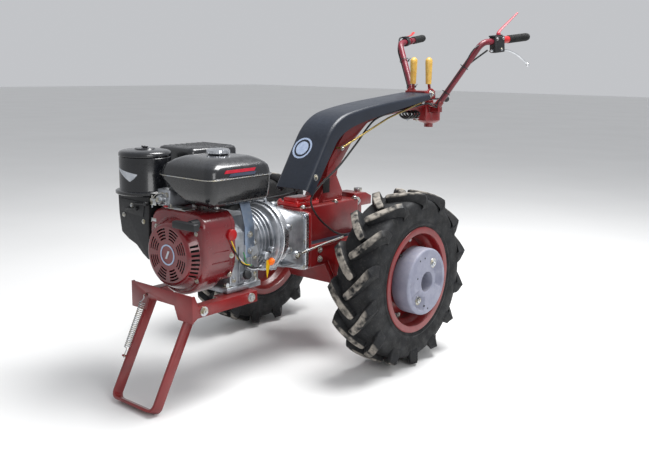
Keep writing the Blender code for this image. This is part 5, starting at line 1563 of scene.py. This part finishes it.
def leftControls():
    frameAt = barMatrix(1, 0.088)
    body = prism(roundedOutline((-0.0175, 0.0195), (-0.0295, 0.0295), 0.009, 6), "z", -0.046, 0.018)
    made("lever_block", moved(body, frameAt), blackPlastic, "handlebar",
         ["clutch_lever_housing"],
         0.004, 3)
    top = prism(roundedOutline((-0.015, 0.016), (-0.036, 0.022), 0.008, 6), "z", 0.0175, 0.0225)
    made("lever_block_cap", moved(top, frameAt), blackPlastic, "handlebar", bevel=0.0015)
    pivot = sweep([(0.004, 0.006, 0.020), (0.004, 0.006, 0.0300)], 0.0095, 28, 0.0085)
    made("throttle_pivot", moved(pivot, frameAt), pinkRed, "handlebar", bevel=0.0012)
    collar = sweep([barBend + barAlong * 0.1190, gripStart - barAlong * 0.001], 0.0145, 28)
    made("throttle_collar", collar, brightRed, "handlebar", bevel=0.001)
    # throttle lever, a tapering flat blade
    root = frameAt @ Vector((0.002, 0.006, 0.0285))
    bend = frameAt @ Vector((0.002, 0.020, 0.0400))
    tip = Vector((0.245, 0.922, 0.908))
    path = smoothPath([root, bend, bend.lerp(tip, 0.5), tip], 0.006)
    lever = taperedBlade(path, (0.3, -0.35, 0.88), (0.0062, 0.0036), (0.0021, 0.0021))
    made("throttle_blade", lever, pinkRed, "handlebar", ["throttle_lever"],
         smoothDegrees=50)
    # clutch lever: a curved flat blade with a ball end
    points = [(0.008, 0.026, -0.036), (0.008, 0.040, -0.041), (0.016, 0.062, -0.048), (0.028, 0.092, -0.066),
              (0.040, 0.118, -0.092), (0.045, 0.133, -0.108)]
    path = smoothPath([frameAt @ Vector(point) for point in points], 0.005)
    lever = taperedBlade(path, (0.2, 0.5, 0.8), (0.0088, 0.0058), (0.0036, 0.0028), segments=24)
    made("clutch_blade", lever, turnedAluminium, "handlebar", ["clutch_lever"],
         smoothDegrees=50)
    ball = bmesh.new()
    bmesh.ops.create_icosphere(ball, subdivisions=3, radius=0.0072)
    bmesh.ops.scale(ball, vec=(0.95, 0.95, 1.12), verts=ball.verts)
    bmesh.ops.translate(ball, vec=path[-1], verts=ball.verts)
    made("clutch_blade_ball", ball, turnedAluminium, "handlebar")
    bolted("lever_block_screws", [(frameAt @ Vector((0.0195, y, z)), frameAt.to_3x3() @ Vector((1, 0, 0)))
                                  for y, z in ((-0.018, 0.008), (0.018, 0.008), (0.006, -0.034))], 0.008,
           0.004, "handlebar")
    adjuster = sweep([frameAt @ Vector((0.004, -0.028, -0.036)), frameAt @ Vector((0.004, -0.048, -0.036))],
                     0.0062, 8, 0.0052)
    made("cable_adjuster", adjuster, turnedAluminium, "handlebar", bevel=0.0006)
    upward = (barBend - barFoot).normalized()
    behind = upward.cross(Vector((0, 1, 0))).cross(upward).normalized()
    for number, share in enumerate((0.22, 0.62)):
        place = barFoot.lerp(barBend, share)
        tie(place, upward, "handlebar", f"left_bar_tie_{number}")
    # throttle cable, beside the clutch cable
    reach = barSizes["tube"] + 0.0032
    ahead = -behind
    route = [barFoot + upward * 0.020 + ahead * reach, barFoot + upward * 0.110 + ahead * (reach + 0.002),
             barFoot + upward * 0.200 + ahead * (reach + 0.001),
             barFoot + upward * 0.270 + ahead * (reach + 0.008),
             frameAt @ Vector((-0.004, -0.030, 0.010))]
    made("throttle_cable_upper", sweep(smoothPath(route, 0.006), 0.0028, 12), cableSleeve, "handlebar")


def rightControls():
    frameAt = barMatrix(-1, 0.070)
    clamp = turned([(0.0122, -0.012), (0.0175, -0.012), (0.0182, -0.010), (0.0182, 0.010), (0.0175, 0.012),
                    (0.0122, 0.012)], (0, 0, 0), "y", 40)
    lug = block((-0.009, -0.014, 0.012), (0.009, 0.016, 0.024))
    made("lock_clamp", moved(joined(clamp, lug), frameAt), blackPlastic, "handlebar",
         ["lock_control"], 0.0015)
    base = onSide(-1, barBend + barAlong * 0.070)
    path = smoothPath([base + Vector((0, 0, 0.022)), base + Vector((-0.004, 0.030, 0.026)),
                       base + Vector((-0.009, 0.058, 0.034)), base + Vector((-0.012, 0.074, 0.043))], 0.005)
    lever = taperedBlade(path, (0, -0.4, 0.9), (0.0045, 0.0080), (0.0026, 0.0032), 2)
    made("lock_blade", lever, brightRed, "handlebar", smoothDegrees=50)
    along = onSide(-1, barAlong)
    collar = sweep([base + along * 0.040, base + along * 0.052], 0.0150, 28)
    made("right_bar_collar", collar, maroonEnamel, "handlebar", bevel=0.001)
    foot, bend = onSide(-1, barFoot), onSide(-1, barBend)
    upward = (bend - foot).normalized()
    outside = upward.cross(Vector((0, 1, 0))).normalized()
    outside = outside if outside.x < 0 else -outside
    reach = barSizes["tube"] + 0.0034
    route = [foot + upward * 0.018 + outside * reach, foot + upward * 0.100 + outside * reach,
             foot + upward * 0.200 + outside * reach, bend + outside * (reach + 0.001) - upward * 0.03,
             bend + outside * (reach - 0.002) + Vector((0, 0.012, 0.014)),
             base + Vector((-0.016, -0.022, 0.016)),
             base + Vector((-0.006, -0.012, 0.020))]
    made("lock_cable_upper", sweep(smoothPath(route, 0.006), 0.0034, 12), cableSleeve, "handlebar")
    for number, share in enumerate((0.30, 0.72)):
        tie(foot.lerp(bend, share), upward, "handlebar", f"right_bar_tie_{number}", size=0.0190)


def cableLoops():
    # the cables' free lengths between the fixed column and the turning handlebar
    upward = (barBend - barFoot).normalized()
    behind = upward.cross(Vector((0, 1, 0))).cross(upward).normalized()
    reach = barSizes["tube"] + 0.0038
    ends = {"clutch": barFoot + upward * 0.020 + behind * reach,
            "throttle": barFoot + upward * 0.020 - behind * (barSizes["tube"] + 0.0032)}
    for name, end in ends.items():
        start = Vector((0.040, 0.590, 0.545))
        bow = 0.010 if name == "clutch" else 0.0
        path = smoothPath([start - Vector((0.003, 0.022, 0.004)), start,
                           start + Vector((0.022, 0.026, -0.004 - bow)),
                           end - upward * 0.016 + Vector((0.004, 0, -0.002)), end, end + upward * 0.012],
                          0.004)
        loop = sweep(path, 0.0030, 12)
        piece = made(name + "_cable_loop", loop, cableSleeve, None)
        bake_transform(piece)


softened("handlebar_hub", redEnamel, "handlebar", 0.002)
for side, sign in (("left", 1), ("right", -1)):
    handle(side, sign)
leftControls()
rightControls()
cableLoops()
softened("lock_lever", blackPlastic, "chassis", 0.0008)
print("handlebar ready")

standSizes = {"lean": radians(28), "pivot": (0, -0.690, -0.007), "middle": 0.091, "bar": 0.032,
              "coil": 0.0080,
              "wire": 0.0014, "turns": 25.0}


def frontFrame():
    softened("front_frame", redEnamel, "chassis", 0.0012)
    softened("stand_pivot", zincPlateAndHighlight, "chassis", 0.0004)
    places = [((sign * 0.137, y, -0.005), (sign, 0, 0)) for sign in (1, -1) for y in (-0.690, -0.500)]
    bolted("frame_side_bolts", places, 0.017, 0.010, "chassis")
    places = [((x, y, 0.007), (0, 0, -1)) for x in (-0.090, 0.090) for y in (-0.555, -0.490)]
    bolted("frame_under_nuts", places, 0.017, 0.010, "chassis")
    beads = []
    for sign in (1, -1):
        beads.append(sweep([(sign * 0.1315, -0.7285, -0.028), (sign * 0.1315, -0.7285, 0.040)], 0.0028, 10))
        beads.append(sweep([(sign * 0.108, -0.727, 0.0080), (sign * 0.130, -0.727, 0.0080)], 0.0028, 10))
    made("frame_welds", joined(*beads), redEnamel, "chassis")


def parkingStand():
    sizes = standSizes
    softened("stand_leg", redEnamel, "stand", 0.0010)
    down = Vector((0, -sin(sizes["lean"]), -cos(sizes["lean"])))
    across = Vector((0, cos(sizes["lean"]), -sin(sizes["lean"])))
    root = Vector(sizes["pivot"]) + down * 0.190 - Vector((sizes["middle"], 0,
                                                           0)) - across * (sizes["bar"] / 2 - 0.003)
    hook = Vector((-0.064, -0.743, 0.010))
    end = root - across * 0.0160 + Vector((0.0040, 0, 0))
    line = (end - hook).normalized()
    start = hook + line * 0.018
    finish = end - line * 0.026
    lean = Vector((0, 0, 1)).rotation_difference(line).to_euler()
    values = {"Turns": sizes["turns"], "Radius": sizes["coil"], "Length": (finish - start).length,
              "Wire": sizes["wire"], "Start": at(*start), "Lean": Vector(lean), "Finish": zincPlateAndHighlight}
    coil = grown("return_spring_coil", springs, bmesh.new(), values, None, ["stand_spring"], 60)
    side = line.orthogonal().normalized()
    upper = smoothPath([start + side * sizes["coil"], start - line * 0.004 + side * 0.003,
                        hook + line * 0.003,
                        hook + Vector((0, -0.001, 0.006)), Vector((-0.064, -0.7335, 0.0175)),
                        Vector((-0.064, -0.7240, 0.0145)), Vector((-0.064, -0.7225, 0.0080))], 0.003)
    lower = smoothPath([finish + side * sizes["coil"], finish + line * 0.004, end - line * 0.006,
                        end + Vector((0.004, -0.001, -0.001)), end + line * 0.005,
                        end + Vector((-0.004, 0.001, 0.001)),
                        end - line * 0.004], 0.003)
    hooks = made("return_spring_hooks",
                 joined(sweep(upper, sizes["wire"], 10), sweep(lower, sizes["wire"], 10)),
                 zincPlateAndHighlight, None)
    for piece in (coil, hooks):
        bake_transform(piece)


frontFrame()
parkingStand()
print("frame and stand ready")

# every CAD node that isn't replaced keeps its shape and takes its real finish
plainFinishes = {"red_paint": redEnamel, "zinc_steel": zincPlateAndHighlight, "cast_aluminium": castAluminium,
                 "black_enamel": blackEnamel, "black_plastic": blackPlastic, "cable_rubber": cableSleeve,
                 "tan_plastic": tanKnob, "chrome": chromePlate, "orange_plastic": orangePlug,
                 "grey_paint": greyIron, "tyre_rubber": softRubber}
nodeSlots = {item["node"]: item["material_slot"] for item in frame["record"]["subparts"]}
for name, node in nodes.items():
    node.data.materials.clear()
    node.data.materials.append(plainFinishes[nodeSlots[name]])


# floor and light
studio = {"floorColour": "#e9e9e8", "floorSize": 60, "skyColour": "#f4f6fa", "skyStrength": 0.6}


def studioFloor():
    floorFinish, tree, shader, where = newFinish("paleStudioFloor", {"Roughness": 0.7})
    tone = blend(tree, speckle(tree, where, 900, 3, 0.3, 0.8), studio["floorColour"], "#e4e4e3")
    tree.links.new(tone, shader.inputs["Base Color"])
    half = studio["floorSize"] / 2
    shape = bmesh.new()
    corners = [shape.verts.new((x * half, y * half, -0.0005)) for x,
               y in ((-1, -1), (1, -1), (1, 1), (-1, 1))]
    shape.faces.new(corners)
    mesh = bpy.data.meshes.new("floor")
    shape.to_mesh(mesh)
    shape.free()
    floor = bpy.data.objects.new("floor", mesh)
    bpy.context.scene.collection.objects.link(floor)
    floor.data.materials.append(floorFinish)


def softLight(name, place, towards, size, power):
    data = bpy.data.lights.new(name, "AREA")
    data.shape = "RECTANGLE"
    data.size, data.size_y = size
    data.energy = power
    light = bpy.data.objects.new(name, data)
    light.location = place
    light.rotation_euler = (Vector(towards) - Vector(place)).to_track_quat("-Z", "Y").to_euler()
    bpy.context.scene.collection.objects.link(light)


studioFloor()
sky = bpy.data.worlds.new("studio")
sky.use_nodes = True
sky.node_tree.nodes["Background"].inputs["Color"].default_value = linear(studio["skyColour"])
sky.node_tree.nodes["Background"].inputs["Strength"].default_value = studio["skyStrength"]
bpy.context.scene.world = sky
softLight("topLight", (0.6, 0.6, 3.2), (0, 0, 0.4), (1.6, 1.6), 150)
softLight("sideLight", (3.0, -1.6, 1.8), (0, 0, 0.5), (1.4, 1.8), 30)
bpy.context.scene.view_settings.view_transform = "Standard"
print("studio ready")
